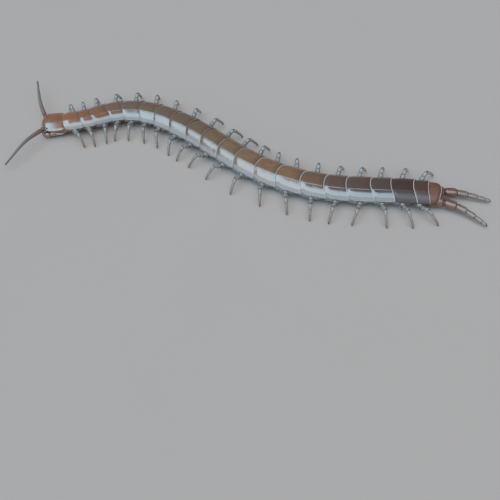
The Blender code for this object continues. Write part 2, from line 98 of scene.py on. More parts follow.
# Share of the head's length from its rear, and there of its width and height
HEAD_STEPS = (
    (0, 0.84, 0.86), (0.06, 0.93, 0.95), (0.25, 0.99, 1), (0.48, 1, 1),
    (0.68, 0.96, 0.95), (0.82, 0.84, 0.86), (0.92, 0.66, 0.72), (1, 0.38, 0.48),
)
# Eyes: share of the head's length and of its half width, height over its middle in mm, and how
# far up they look. They also look forward a little. Then the sizes of a lens and of its rim, and
# how far out the rim sits
EYES = ((0.74, 0.84, 0.22, 0.75), (0.83, 0.84, 0.2, 0.75),
        (0.72, 0.95, -0.06, 0.1), (0.81, 0.95, -0.08, 0.1))
EYES_FORWARD = 0.35
EYE, EYE_RIM, EYE_RIM_OUT = (0.171, 0.1634, 0.1634), (0.19, 0.171, 0.171), 0.0342 * MM
FEELER_LENGTH, FEELER_JOINTS = 8.2 * MM, 17
# By share of a feeler its radius in mm, and by side its turns out in degrees and its heights in mm
FEELER_RADII = ((0, 0.38), (0.5, 0.26), (1, 0.15))
FEELER_SPREAD, FEELER_BEND_END = {1: (50, 57), -1: (62, 76)}, 0.67
FEELER_HEIGHTS = {1: ((0, 0), (0.4, 0.2), (1, -0.8)), -1: ((0, 0), (0.4, 0.5), (1, 0.4))}
# Where a feeler's socket starts: behind the head's front edge, aside, and below HEAD_Z
SOCKET_START, SOCKET_LENGTH = (0.66 * MM, 0.86 * MM, 0.05 * MM), 0.85 * MM
# The plate that carries the fangs: its width in mm by share of its length, from the rear. Then
# where a fang's stub starts: aside, and behind the head's front edge
FANG_PLATE_Z, FANG_PLATE_HALF = 0.97 * MM, 0.4 * MM
FANG_PLATE_STEPS = ((0, 2.9), (0.2, 3.35), (0.5, 3.45), (0.8, 3.15), (1, 2.2))
FANG_PLATE_LENGTH, FANG_STUB = 2.05 * MM, (1.05 * MM, 2.1 * MM)
# Along a fang, in mm: behind the head's front edge, aside, and radius
FANG = ((1.05, 1.34, 0.54), (0.68, 1.42, 0.52), (0.34, 1.36, 0.44), (0.06, 1.12, 0.33),
        (-0.08, 0.8, 0.22), (-0.1, 0.5, 0.13), (-0.04, 0.3, 0.07))
FANG_Z = 0.92 * MM


# Curves and the backbone

def smooth_value(table, x):
    """A smooth curve through a table's rows (place, one or more values), read at x."""
    table, x = np.asarray(table, float), np.asarray(x, float)
    places, values = table[:, 0], table[:, 1:]
    slopes = np.gradient(values, places, axis=0)
    i = np.clip(np.searchsorted(places, x) - 1, 0, len(places) - 2)
    width = (places[i + 1] - places[i])[..., None]
    t = (x - places[i])[..., None] / width
    start = values[i] * (1 + 2 * t) * (1 - t) ** 2 + slopes[i] * width * t * (1 - t) ** 2
    end = values[i + 1] * t * t * (3 - 2 * t) - slopes[i + 1] * width * t * t * (1 - t)
    return (start + end)[..., 0] if values.shape[1] == 1 else start + end


def shares_of(line):
    """The share of a line's length at each of its points."""
    steps = np.linalg.norm(np.diff(np.asarray(line, float), axis=0), axis=1)
    return np.concatenate([[0], np.cumsum(steps)]) / steps.sum()


def smooth_line(knots, shares):
    """Points on a smooth curve through knots, at shares of its length."""
    return smooth_value(np.column_stack([shares_of(knots), knots]), shares)


def linear(places, rows, x):
    """Rows of values at places, read at x in straight steps."""
    return np.stack([np.interp(x, places, column) for column in rows.T], -1)


def single_bend(start, middle, end, shares):
    t = np.asarray(shares, float)[..., None]
    return start * (1 - t) ** 2 + middle * (2 * t * (1 - t)) + end * (t * t)


def mirrored(half):
    """A whole line of (across, up) from the right margin over the middle to the left margin."""
    return [(-u, v) for u, v in half[:0:-1]] + list(half)


def closed_line(half, columns):
    """Points all the way round a form, from the half of its section on the left."""
    full = mirrored(half)[1:]
    return smooth_line(full + full[:1], np.linspace(0, 1, columns, endpoint=False))


def part_way(ends, share):
    """From the first of two values towards the second, by a share of the way."""
    return ends[0] + (ends[1] - ends[0]) * share


def step_up(low, high, x):
    t = np.clip((np.asarray(x, float) - low) / (high - low), 0, 1)
    return t * t * (3 - 2 * t)


def between(start, end, x):
    """1 between two steps, each (low, high), and 0 outside them."""
    return step_up(*start, x) * (1 - step_up(*end, x))


def bump_at(place, width, x):
    return np.exp(-((np.asarray(x, float) - place) / width) ** 2)


def spread(*columns):
    """Rows of one table from columns of shapes that fit each other."""
    return np.stack(np.broadcast_arrays(*columns), -1)


def unit(vectors):
    return vectors / np.linalg.norm(vectors, axis=-1, keepdims=True)


def swung(first, second, degrees):
    """A direction swung towards another one, at a right angle to it."""
    return first * math.cos(math.radians(degrees)) + second * math.sin(math.radians(degrees))


def turned(direction, degrees):
    """A level direction turned about the vertical."""
    return swung(direction, np.cross(UP, direction), degrees)


def walked(headings, length):
    """The points that equal steps along headings reach, from the origin."""
    reached = np.concatenate([np.zeros((1, 3)), np.cumsum(headings, axis=0)])
    return reached * length / len(headings)


PLATE_EDGES = HEAD_LENGTH + np.concatenate([[0], np.cumsum([p[0] for p in PLATES]) * MM])
BODY_LENGTH = float(PLATE_EDGES[-1])


def trace_backbone(steps=800):
    """Distances from the head's front edge, and there the point and the heading."""
    shares = np.linspace(0, 1, steps + 1)
    angles = np.radians(smooth_value(HEADINGS, shares))
    middles = (angles[1:] + angles[:-1]) / 2
    ways = np.stack([np.cos(middles), np.sin(middles), 0 * middles], -1)
    return shares * BODY_LENGTH, np.column_stack([walked(ways, BODY_LENGTH), angles])


BACKBONE = trace_backbone()
STAND = np.zeros(3)


def spine(along):
    """(points on the floor, directions to the tail, directions to the left) at distances from
    the head's front edge. Past either end the line goes on straight."""
    along = np.asarray(along, float)
    inside = np.clip(along, 0, BODY_LENGTH)
    found = linear(*BACKBONE, inside)
    cos, sin, flat = np.cos(found[..., 3]), np.sin(found[..., 3]), np.zeros_like(along)
    back, left = np.stack([cos, sin, flat], -1), np.stack([sin, -cos, flat], -1)
    return STAND + found[..., :3] + back * (along - inside)[..., None], back, left


def on_body(along, across, height):
    """Points at distances along the backbone, out to the left of it and over the floor."""
    along, across, height = np.broadcast_arrays(along, across, height)
    point, _, left = spine(along)
    return point + left * across[..., None] + UP * height[..., None]


def plate_size(number):
    """(start, length, half the width, half the height) of back plate 1 to 21."""
    length, share = PLATES[number - 1]
    return PLATE_EDGES[number - 1], length * MM, HALF_WIDTH * share, HALF_HEIGHT * share


def body_share(along):
    return (along - HEAD_LENGTH) / (BODY_LENGTH - HEAD_LENGTH)


# Paths of the limbs. A path is a function of the share of its length; way is 1 for the left
# side and -1 for the right

def leg_turn(number, way):
    phase = 2 * math.pi * (number - LEG_WAVE_START) / LEG_WAVE
    swing = LEG_SWING * math.cos(phase) * way + LEG_MEAN
    return LEG_TRAIL[number] + swing * LEG_TRAIL_SWING if number in LEG_TRAIL else swing


def hip_end(number, way):
    start, length, half_width, half_height = plate_size(number)
    point, _, left = spine(start + HIP_PLACE * length)
    end = point + left * way * (HIP_REACH * half_width) + UP * (SPINE_Z - HIP_DROP * half_height)
    return end, turned(left * way, way * leg_turn(number, way) / 2)


def leg_path(number, way):
    """From a hip over the knee down to the floor."""
    end, direction = hip_end(number, way)
    root = end + direction * GAP
    reach = LEG_REACH * smooth_value(LEG_SCALES, number)
    bend = root + direction * (reach * LEG_BEND)
    foot = root + turned(direction, way * leg_turn(number, way) / 2) * reach
    heights = [(t, root[2] + rise * MM) for t, rise in LEG_HEIGHTS] + [(1, 0)]

    def at(t):
        points = single_bend(root, bend, foot, t)
        points[..., 2] = smooth_value(heights, t)
        return points

    return at


def turning_path(start, forward, turn_at, length, height_at, steps=240):
    """A path that turns by turn_at(share) degrees from forward, at height_at(share)."""
    shares = np.linspace(0, 1, steps + 1)
    headings = [turned(forward, turn_at(t)) for t in (shares[1:] + shares[:-1]) / 2]
    track = start + walked(headings, length)

    def at(t):
        points = linear(shares, track, t)
        points[..., 2] = height_at(np.asarray(t, float))
        return points

    return at


def last_leg_path(way):
    point, back, left = spine(BODY_LENGTH)
    turns = LAST_LEG_SPREAD[way]
    direction = turned(back, -way * turns[0])
    end = point + left * (way * LAST_HIP_ASIDE) + UP * LAST_HIP_Z + direction * LAST_HIP_OUT
    at = turning_path(
        end + direction * GAP, back,
        lambda t: -way * part_way(turns, min(t / LAST_LEG_BEND_END, 1)),
        sum(length for length, _ in LAST_LEG_JOINTS) * MM,
        lambda t: part_way((LAST_HIP_Z, LAST_LEG_END_Z), t ** LAST_LEG_FALL))
    return at, end, direction


def feeler_path(way):
    behind, aside, below = SOCKET_START
    point, back, left = spine(behind)
    turns = FEELER_SPREAD[way]
    direction = turned(-back, way * turns[0])
    end = point + left * (way * aside) + UP * (HEAD_Z - below) + direction * SOCKET_LENGTH

    def turn_at(t):
        return way * part_way(turns, math.sin(math.pi / 2 * min(t / FEELER_BEND_END, 1)))

    at = turning_path(end + direction * GAP, -spine(0)[1], turn_at, FEELER_LENGTH,
                      lambda t: end[2] + smooth_value(FEELER_HEIGHTS[way], t) * MM)
    return at, end, direction


def fang_path(way):
    knots = [on_body(behind * MM, way * aside * MM, FANG_Z) for behind, aside, _ in FANG]
    return lambda t: smooth_line(knots, t)


def way_between(path, start, end):
    return unit(path(end) - path(start))


def standing_place():
    """From the backbone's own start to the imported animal, read at the flat of one foot."""
    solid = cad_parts["leg_left_01"].data
    corners = {tuple(round(value, 8) for value in vertex.co) for vertex in solid.vertices}
    flat = [corner for corner in corners if corner[2] < 0.01 * MM]
    return np.mean(flat, axis=0) - leg_path(1, SIDES["left"])(1)


STAND = standing_place()


# Meshes. A form is a table of points, its faces, and the names of any columns after x, y and z

def quads(rows, columns):
    """The faces of a grid of points that is closed across its columns."""
    i, j = np.meshgrid(np.arange(rows - 1), np.arange(columns), indexing="ij")
    near, after = i * columns, (j + 1) % columns
    corners = [near + j, near + after, near + columns + after, near + columns + j]
    return np.stack(corners, -1).reshape(-1, 4).tolist()


def lofted(rings, names=()):
    """A closed surface through rings of points, with a fan over each end."""
    rows, columns, width = rings.shape
    base, first = (rows - 1) * columns, rows * columns
    faces = quads(rows, columns)
    faces += [(first, (i + 1) % columns, i) for i in range(columns)]
    faces += [(first + 1, base + i, base + (i + 1) % columns) for i in range(columns)]
    ends = [rings[:1].mean(1), rings[-1:].mean(1)]
    return np.concatenate([rings.reshape(-1, width), *ends]), faces, names


def shell(outer, inner, names=()):
    """A closed thin plate between an outer and an inner grid of points."""
    rows, columns, width = outer.shape
    wide = 2 * columns
    faces = quads(rows, wide)
    for base in (0, (rows - 1) * wide):
        faces += [(base + i, base + i + 1, base + wide - 2 - i, base + wide - 1 - i)
                  for i in range(columns - 1)]
    return np.concatenate([outer, inner[:, ::-1]], axis=1).reshape(-1, width), faces, names


def write_values(mesh, label, values):
    """Writes a number or a vector for each point of a mesh."""
    values = np.asarray(values, np.float32)
    kind, key = ("FLOAT", "value") if values.ndim == 1 else ("FLOAT_VECTOR", "vector")
    mesh.attributes.new(label, kind, "POINT").data.foreach_set(key, values.ravel())


def face_outwards(mesh):
    bm = bmesh.new()
    bm.from_mesh(mesh)
    bmesh.ops.recalc_face_normals(bm, faces=bm.faces)
    bm.to_mesh(mesh)
    bm.free()
    mesh.polygons.foreach_set("use_smooth", [True] * len(mesh.polygons))


def placed(name, data):
    thing = bpy.data.objects.new(name, data)
    bpy.context.scene.collection.objects.link(thing)
    return thing


def mesh_object(name, form):
    table, faces, names = form
    mesh = bpy.data.meshes.new(name)
    mesh.from_pydata(table[:, :3].tolist(), [], faces)
    for label, column in zip(names, table.T[3:]):
        write_values(mesh, label, column)
    face_outwards(mesh)
    return placed(name, mesh)


def settle(piece, finish, slot, *nodes):
    """Gives a piece its material and its body, and hides the solids that it stands for. Its slot is
    not used.
    """
    piece.data.materials.clear()
    piece.data.materials.append(finish)
    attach(piece, "root")
    if nodes:
        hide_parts(*nodes)


# Nodes

def fill(tree, node, sockets):
    """A socket gets a plain value, or a link from another node's output."""
    for key, value in sockets.items():
        socket = node.inputs[key.replace("_", " ") if isinstance(key, str) else key]
        if isinstance(value, bpy.types.NodeSocket):
            tree.links.new(value, socket)
        else:
            socket.default_value = value
    return node


def add_node(tree, kind, settings=None, **sockets):
    node = tree.nodes.new(kind)
    for key, value in (settings or {}).items():
        setattr(node, key, value)
    return fill(tree, node, sockets)


def reckon(tree, operation, first, second):
    """A sum or product, and so on, of two values, each a number or another node's output."""
    node = add_node(tree, "ShaderNodeMath", {"operation": operation})
    return fill(tree, node, {0: first, 1: second}).outputs[0]


def times(tree, first, second):
    return reckon(tree, "MULTIPLY", first, second)


# Geometry Nodes: limbs along paths, and parts at places

def start_tree(name, **kinds):
    tree = bpy.data.node_groups.new(name, "GeometryNodeTree")
    for label, kind in {"Geometry": "Geometry", **kinds, "Finish": "Material"}.items():
        tree.interface.new_socket(label, in_out="INPUT", socket_type="NodeSocket" + kind)
    tree.interface.new_socket("Geometry", in_out="OUTPUT", socket_type="NodeSocketGeometry")
    return tree, tree.nodes.new("NodeGroupInput").outputs


def end_tree(tree, geometry, finish):
    real = add_node(tree, "GeometryNodeRealizeInstances", Geometry=geometry)
    painted = add_node(tree, "GeometryNodeSetMaterial", Geometry=real.outputs[0], Material=finish)
    add_node(tree, "NodeGroupOutput", Geometry=painted.outputs[0])
    return tree


def named(tree, name, kind="FLOAT"):
    node = add_node(tree, "GeometryNodeInputNamedAttribute", {"data_type": kind}, Name=name)
    return node.outputs[0]


def limb_tree():
    """Round limbs along lines of points, as thick as the points' girth."""
    tree, given = start_tree("limbs_along_paths", Sides="Int", Thickness="Float")
    path = add_node(tree, "GeometryNodeMeshToCurve", Mesh=given["Geometry"])
    ring = add_node(tree, "GeometryNodeCurvePrimitiveCircle", Resolution=given["Sides"], Radius=1)
    limb = add_node(tree, "GeometryNodeCurveToMesh", Curve=path.outputs[0],
                    Profile_Curve=ring.outputs[0], Fill_Caps=True,
                    Scale=times(tree, named(tree, "girth"), given["Thickness"]))
    return end_tree(tree, limb.outputs[0], given["Finish"])


def part_tree():
    """Copies of a pattern, one at each point, turned and sized by the point."""
    tree, given = start_tree("parts_at_places", Pattern="Object", Size="Float")
    forward, up, size = (named(tree, label, "FLOAT_VECTOR") for label in ("forward", "up", "size"))
    turn = add_node(tree, "FunctionNodeAxesToRotation",
                    {"primary_axis": "X", "secondary_axis": "Z"},
                    Primary_Axis=forward, Secondary_Axis=up)
    pattern = add_node(tree, "GeometryNodeObjectInfo", Object=given["Pattern"])
    scale = add_node(tree, "ShaderNodeVectorMath", {"operation": "SCALE"}, Scale=given["Size"])
    fill(tree, scale, {0: size})
    row = add_node(tree, "GeometryNodeInstanceOnPoints", Points=given["Geometry"],
                   Instance=pattern.outputs["Geometry"], Rotation=turn.outputs[0],
                   Scale=scale.outputs[0])
    return end_tree(tree, row.outputs[0], given["Finish"])


LIMB_TREE, PART_TREE = limb_tree(), part_tree()


def grown(name, points, edges, values, tree, settings):
    """The plain mesh that a tree makes from points and their values."""
    seed = bpy.data.meshes.new(name + "_seed")
    seed.from_pydata(points.tolist(), edges, [])
    for label, column in values.items():
        write_values(seed, label, column)
    piece = placed(name, seed)
    grow = piece.modifiers.new("grow", "NODES")
    grow.node_group = tree
    for item in tree.interface.items_tree:
        if item.in_out == "INPUT" and item.name in settings:
            grow[item.identifier] = settings[item.name]
    evaluated = piece.evaluated_get(bpy.context.evaluated_depsgraph_get())
    made = bpy.data.meshes.new_from_object(evaluated)
    piece.modifiers.remove(grow)
    piece.data = made
    bpy.data.meshes.remove(seed)
    face_outwards(made)
    return piece


def limbs(name, tables, sides, finish, slot, *nodes):
    """One piece of all the limbs whose tables of rows, as limb_rows gives them, are listed."""
    starts = np.cumsum([0] + [len(table) for table in tables])
    edges = [(i, i + 1) for a, b in zip(starts, starts[1:]) for i in range(a, b - 1)]
    rows = np.concatenate(tables)
    piece = grown(name, rows[:, :3], edges, dict(zip(("girth", "reach", "joint"), rows.T[3:])),
                  LIMB_TREE, {"Sides": sides, "Thickness": MM, "Finish": finish})
    settle(piece, finish, slot, *nodes)


def parts(name, pattern, places, finish, slot, row=None, roots=None):
    """One piece of a form set at places, each (point, forward, up, size)."""
    stamp = mesh_object(name + "_pattern", pattern)
    points, *columns = (np.array(column, float) for column in zip(*places))
    values = dict(zip(("forward", "up", "size"), columns))
    if row:
        values["row"] = row
    piece = grown(name, points, [], values,
                  PART_TREE, {"Pattern": stamp, "Size": MM, "Finish": finish})
    bpy.data.objects.remove(stamp, do_unlink=True)
    if roots:
        lay_out_roots(piece, len(pattern[0]), roots)
    settle(piece, finish, slot)


# Finishes

def new_finish(name, **sockets):
    material = bpy.data.materials.new(name)
    material.use_nodes = True
    tree = material.node_tree
    return material, tree, fill(tree, tree.nodes["Principled BSDF"], sockets)


def dress(tree, shader, colour, height, depth, strength):
    bump = add_node(tree, "ShaderNodeBump", Height=height, Distance=depth, Strength=strength)
    fill(tree, shader, {"Base Color": colour, "Normal": bump.outputs[0]})


def attribute(tree, name):
    return add_node(tree, "ShaderNodeAttribute", {"attribute_name": name}).outputs["Fac"]


def grain(tree, size, detail=3):
    """Noise whose features are about size across, in metres."""
    place = add_node(tree, "ShaderNodeTexCoord").outputs["Object"]
    return add_node(tree, "ShaderNodeTexNoise", Vector=place, Scale=1 / size, Detail=detail,
                    Roughness=0.55).outputs["Fac"]


def ramp(tree, value, stops):
    """A colour by value. Each stop is (place, red, green, blue)."""
    made = add_node(tree, "ShaderNodeValToRGB", Fac=value)
    line = made.color_ramp
    while len(line.elements) < len(stops):
        line.elements.new(0.5)
    for element, (place, *colour) in zip(line.elements, stops):
        element.position, element.color = place, (*colour, 1)
    return made.outputs["Color"]


def level(tree, value, low, high, out_low=0, out_high=1):
    """A value taken from one range to another, held at the ends."""
    return add_node(tree, "ShaderNodeMapRange", Value=value, From_Min=low, From_Max=high,
                    To_Min=out_low, To_Max=out_high).outputs[0]


def mixed(tree, share, first, second, how="MIX"):
    """A mix of two colours, each plain or another node's output."""
    node = add_node(tree, "ShaderNodeMix", {"data_type": "RGBA", "blend_type": how})
    first, second = ((*c, 1) if isinstance(c, tuple) else c for c in (first, second))
    return fill(tree, node, {0: share, 6: first, 7: second}).outputs[2]


# By share of the body, from the neck to the tail
BACK_COLOURS = (
    (0, 0.255, 0.082, 0.018), (0.07, 0.19, 0.068, 0.022), (0.16, 0.125, 0.068, 0.038),
    (0.34, 0.12, 0.065, 0.032), (0.5, 0.19, 0.098, 0.042), (0.64, 0.19, 0.09, 0.036),
    (0.76, 0.085, 0.042, 0.028), (0.9, 0.056, 0.029, 0.023), (0.945, 0.06, 0.032, 0.026),
    (0.985, 0.155, 0.07, 0.045),
)
SKIN_COLOURS = (
    (0, 0.24, 0.1, 0.055), (0.06, 0.28, 0.22, 0.19), (0.12, 0.29, 0.305, 0.32),
    (0.9, 0.26, 0.265, 0.275), (0.955, 0.21, 0.14, 0.11), (0.985, 0.16, 0.055, 0.03),
)
MOTTLE, DARK_BAND = (0.07, 0.035, 0.022), (0.05, 0.022, 0.015)
# The first colour of the next row is the pale rear rim of each plate, partly a pale margin and
# partly a painted glint
# The second colour of the next row is a painted reflection of the sky on the back plates' side
# margins
PALE_RIM_AND_GLINT, SIDE_SHEEN_PAINT = (0.52, 0.45, 0.41), (0.31, 0.34, 0.36)
# The second colour of the next row is painted shade, multiplied into the skin in its furrows and
# between segments
BLOTCH, FOLD_SHADE = (0.8, 0.76, 0.75), (0.58, 0.45, 0.42)


def gloss(specular, coat=0, coat_roughness=0.03):
    """How a finish shines."""
    return {"Specular_IOR_Level": specular, "Coat_Weight": coat, "Coat_Roughness": coat_roughness}


def back_finish(name, roughness, side_sheen_share, **sockets):
    """Back plates: tan to red-brown along the body, with a dark band at the rear of each and a pale
    rim there that is partly a pale margin and partly a painted glint, and a painted reflection of
    the sky, pale blue-grey, on the side margins."""
    material, tree, shader = new_finish(name, **sockets)
    row, rear, side = (attribute(tree, label) for label in ("row", "rear", "side"))
    lumps = grain(tree, 0.9 * MM)
    # Pale rear rim, partly a pale margin and partly a painted glint, stronger to the tail
    rim = times(tree, level(tree, rear, 0.966, 0.976), level(tree, row, 0.3, 0.85, 0.22, 1))
    colour = ramp(tree, row, BACK_COLOURS)
    for share, other in ((level(tree, lumps, 0.35, 0.7, 0, 0.4), MOTTLE),
                         (level(tree, rear, 0.7, 0.95, 0, 0.5), DARK_BAND),
                         # Painted reflection of the sky on the side margins
                         (level(tree, side, 0.6, 0.8, 0, side_sheen_share), SIDE_SHEEN_PAINT),
                         (rim, PALE_RIM_AND_GLINT)):
        colour = mixed(tree, share, colour, other)
    uneven = level(tree, lumps, 0.3, 0.7, roughness - 0.04, roughness + 0.05)
    fill(tree, shader, {"Roughness": uneven})
    fine = times(tree, grain(tree, 0.05 * MM, 2), 0.05)
    height = reckon(tree, "ADD", grain(tree, 0.9 * MM, 2), fine)
    dress(tree, shader, colour, height, 0.06 * MM, 0.45)
    return material


def skin_finish():
    """Soft blue-grey skin of the flanks and between the plates, redder at both ends, with painted
    shade darkening its furrows and the borders between segments.
    """
    material, tree, shader = new_finish(
        "flank_skin", Roughness=0.36, Subsurface_Weight=0.1, Subsurface_Scale=0.3 * MM,
        **gloss(0.6, 0.3, 0.25))
    place = add_node(tree, "ShaderNodeTexCoord").outputs["Object"]
    colour = ramp(tree, attribute(tree, "row"), SKIN_COLOURS)
    colour = mixed(tree, level(tree, grain(tree, 0.8 * MM), 0.35, 0.65), colour, BLOTCH, "MULTIPLY")
    # Painted shade in the furrows and at the borders between segments
    colour = mixed(tree, attribute(tree, "fold_shade"), colour, FOLD_SHADE, "MULTIPLY")
    cells = add_node(tree, "ShaderNodeTexVoronoi", {"feature": "DISTANCE_TO_EDGE"}, Vector=place,
                     Scale=1 / (0.12 * MM)).outputs["Distance"]
    dress(tree, shader, colour, cells, 0.03 * MM, 0.5)
    return material


def plain_cuticle(name, roughness, dark, light, size, bump=0.3, **sockets):
    """Cuticle that varies softly between two colours."""
    material, tree, shader = new_finish(name, Roughness=roughness, **sockets)
    colour = mixed(tree, level(tree, grain(tree, size * MM), 0.3, 0.7), dark, light)
    dress(tree, shader, colour, grain(tree, size * MM / 8, 4), 0.01 * MM, bump)
    return material


def limb_finish(name, roughness, stops, joint_colour, size, **sockets):
    """A limb's cuticle: a colour by share of its length, and another at its joints."""
    material, tree, shader = new_finish(name, Roughness=roughness, **sockets)
    colour = ramp(tree, attribute(tree, "reach"), stops)
    mottle = level(tree, grain(tree, size * MM), 0.35, 0.75, 0, 0.35)
    for share in (mottle, attribute(tree, "joint")):
        colour = mixed(tree, share, colour, joint_colour)
    dress(tree, shader, colour, grain(tree, size * MM / 5), 0.008 * MM, 0.3)
    return material


MIRROR = {"IOR": 2.55, **gloss(0.5, 0, 0.12)}
# The third value is how strongly the painted reflection of the sky lies on the side margins
BACK = back_finish("back_cuticle", 0.17, 0.65, **MIRROR)
TAIL_BACK = back_finish("tail_cuticle", 0.36, 0.1, **gloss(0.5, 0.2, 0.25))
LAST_BACK = back_finish("last_plate_cuticle", 0.45, 0, **gloss(0.25, 0.1, 0.3))
SKIN = skin_finish()
HEAD = plain_cuticle("head_cuticle", 0.22, (0.135, 0.033, 0.009), (0.215, 0.062, 0.016), 0.8,
                     **{**MIRROR, "IOR": 2.7})
BELLY = plain_cuticle("belly_cuticle", 0.3, (0.22, 0.13, 0.08), (0.31, 0.21, 0.14), 0.9,
                      **gloss(0.7, 0.3, 0.2))
SIDE_PLATE = plain_cuticle("side_plate_cuticle", 0.28, (0.19, 0.14, 0.115), (0.27, 0.22, 0.19), 0.4,
                           **gloss(0.7, 0.4))
LEG = limb_finish(
    "leg_cuticle", 0.24,
    ((0, 0.2, 0.17, 0.14), (0.35, 0.25, 0.235, 0.225), (0.8, 0.23, 0.195, 0.155),
     (1, 0.19, 0.11, 0.06)),
    (0.09, 0.055, 0.035), 0.3, Subsurface_Weight=0.3, Subsurface_Scale=0.25 * MM,
    **gloss(0.75, 0.6, 0.14))
LAST_LEG = limb_finish(
    "last_leg_cuticle", 0.17,
    ((0, 0.165, 0.052, 0.027), (0.22, 0.18, 0.074, 0.042), (0.5, 0.19, 0.13, 0.1),
     (1, 0.2, 0.175, 0.15)),
    (0.06, 0.024, 0.016), 0.5, **{**MIRROR, "IOR": 1.9})
FEELER = limb_finish(
    "feeler_cuticle", 0.42,
    ((0, 0.17, 0.075, 0.035), (0.2, 0.165, 0.11, 0.07), (0.4, 0.145, 0.14, 0.11),
     (1, 0.13, 0.135, 0.115)),
    (0.065, 0.045, 0.028), 0.25, Sheen_Weight=0.15, **gloss(0.6))
FANG_CUTICLE = limb_finish(
    "fang_cuticle", 0.24,
    ((0, 0.2, 0.062, 0.026), (0.62, 0.175, 0.045, 0.018), (0.8, 0.05, 0.013, 0.008),
     (0.92, 0.012, 0.008, 0.007)),
    (0.08, 0.022, 0.012), 0.5, **MIRROR)
CLAW = plain_cuticle("claw_horn", 0.18, (0.02, 0.012, 0.01), (0.06, 0.025, 0.015), 0.12, 0.15,
                     **gloss(0.8, 0.6))
EYE_LENS = plain_cuticle("eye_lens", 0.1, (0.008, 0.008, 0.01), (0.018, 0.014, 0.012), 0.2, 0.05)
BRISTLE = plain_cuticle("bristle", 0.4, (0.19, 0.14, 0.09), (0.26, 0.21, 0.14), 0.3, 0.1)


# Body skin

# Half its section on the left, middle of the back to middle of the belly: shares of the half
# width, and of the half height
SKIN_HALF = (
    (0, 0.9), (0.4, 0.84), (0.7, 0.6), (0.86, 0.28), (0.9, 0.02), (0.9, -0.36),
    (0.68, -0.76), (0.5, -0.92), (0, -0.94),
)
SKIN_COLUMNS, SKIN_ROWS = 96, 18
# Shares of the half section, from the middle of the back to the middle of the belly
FURROWS, FURROW_WIDTH = (0.56, 0.63, 0.71), 0.014
FLANK, FLANK_WIDTH = 0.64, 0.17
BELLY_EDGE, BELLY_EDGE_WIDTH = 0.86, 0.03
# Shares of a segment
HIP_WIDTH, BORDER_WIDTH = 0.26, 0.13
FURROW_DEPTH, SWELL, WAIST = 0.07 * MM, 0.1 * MM, 0.16 * MM
# Wrinkles: how many in a segment, turns across them from back to belly, and share of WRINKLE_SIZE
WRINKLES, WRINKLE_SIZE = ((3, 5, 0.6), (7, 3, 0.5), (11, -4, 0.45), (17, 2, 0.3)), 0.028 * MM
# How far the wrinkles sway along the body, and how often; and how far the furrows sway across it
WRINKLE_SWAY, WRINKLE_SWAYS, FURROW_SWAY = 0.05, 9, 0.012
# How much of the furrows a hip takes away, how deep the belly's edge is against them, the share of
# a border's depth that lies off the flanks, and its share of the painted shade of a fold
HIP_SMOOTHING, BELLY_EDGE_DEPTH, BORDER_OFF_FLANK, BORDER_SHADE = 0.75, 0.8, 0.45, 0.7
# The flesh under the head plate: distance, half width, top and bottom, in mm
HEAD_FLESH = (
    (0.3, 0.6, 2.35, 1.95), (0.55, 1.2, 2.52, 1.8), (1, 1.65, 2.66, 1.55), (1.8, 2.02, 2.74, 1.25),
    (2.6, 2.1, 2.76, 1), (3.2, 2.06, 2.76, 0.86), (3.9, 1.98, 2.8, 0.74),
)
# At the rear: distance from the body's end, half width, and top and bottom from the spine, in mm
REAR_FLESH = ((-0.1, 1.76, 1, -1.06), (0.14, 1.52, 0.8, -0.92), (0.3, 1.1, 0.5, -0.6))


def skin_section(lap=4):
    """(share of the half section, across, up) all round, starting at the middle of the back."""
    full = mirrored(SKIN_HALF)[1:]
    ring = full[-lap:] + full + full[:lap]
    places = shares_of(ring)
    first, last = places[lap], places[lap + len(full)]
    middle = places[lap + len(SKIN_HALF) - 2]
    shares = np.arange(SKIN_COLUMNS) / SKIN_COLUMNS
    at = first + (middle - first + shares * (last - first)) % (last - first)
    across, up = smooth_value(np.column_stack([places, ring]), at).T
    return 1 - np.abs(1 - 2 * shares), across, up


SKIN_PLACE, SKIN_ACROSS, SKIN_UP = skin_section()


def skin_profile(along):
    """(half width, top, bottom) of the skin's section at distances."""
    rows = [np.array(row) * MM for row in HEAD_FLESH]
    neck = [(1, 0.3, 0.96, 0.97, 0.95)]
    for number, share, wide, high, low in neck + [(n, 0.6, 1, 1, 1) for n in range(1, LAST + 1)]:
        start, length, half_width, half_height = plate_size(number)
        rows.append((start + length * share, half_width * wide, SPINE_Z + half_height * high,
                     SPINE_Z - half_height * low))
    rows += [np.array(row) * MM + (BODY_LENGTH, 0, SPINE_Z, SPINE_Z) for row in REAR_FLESH]
    return smooth_value(rows, along).T


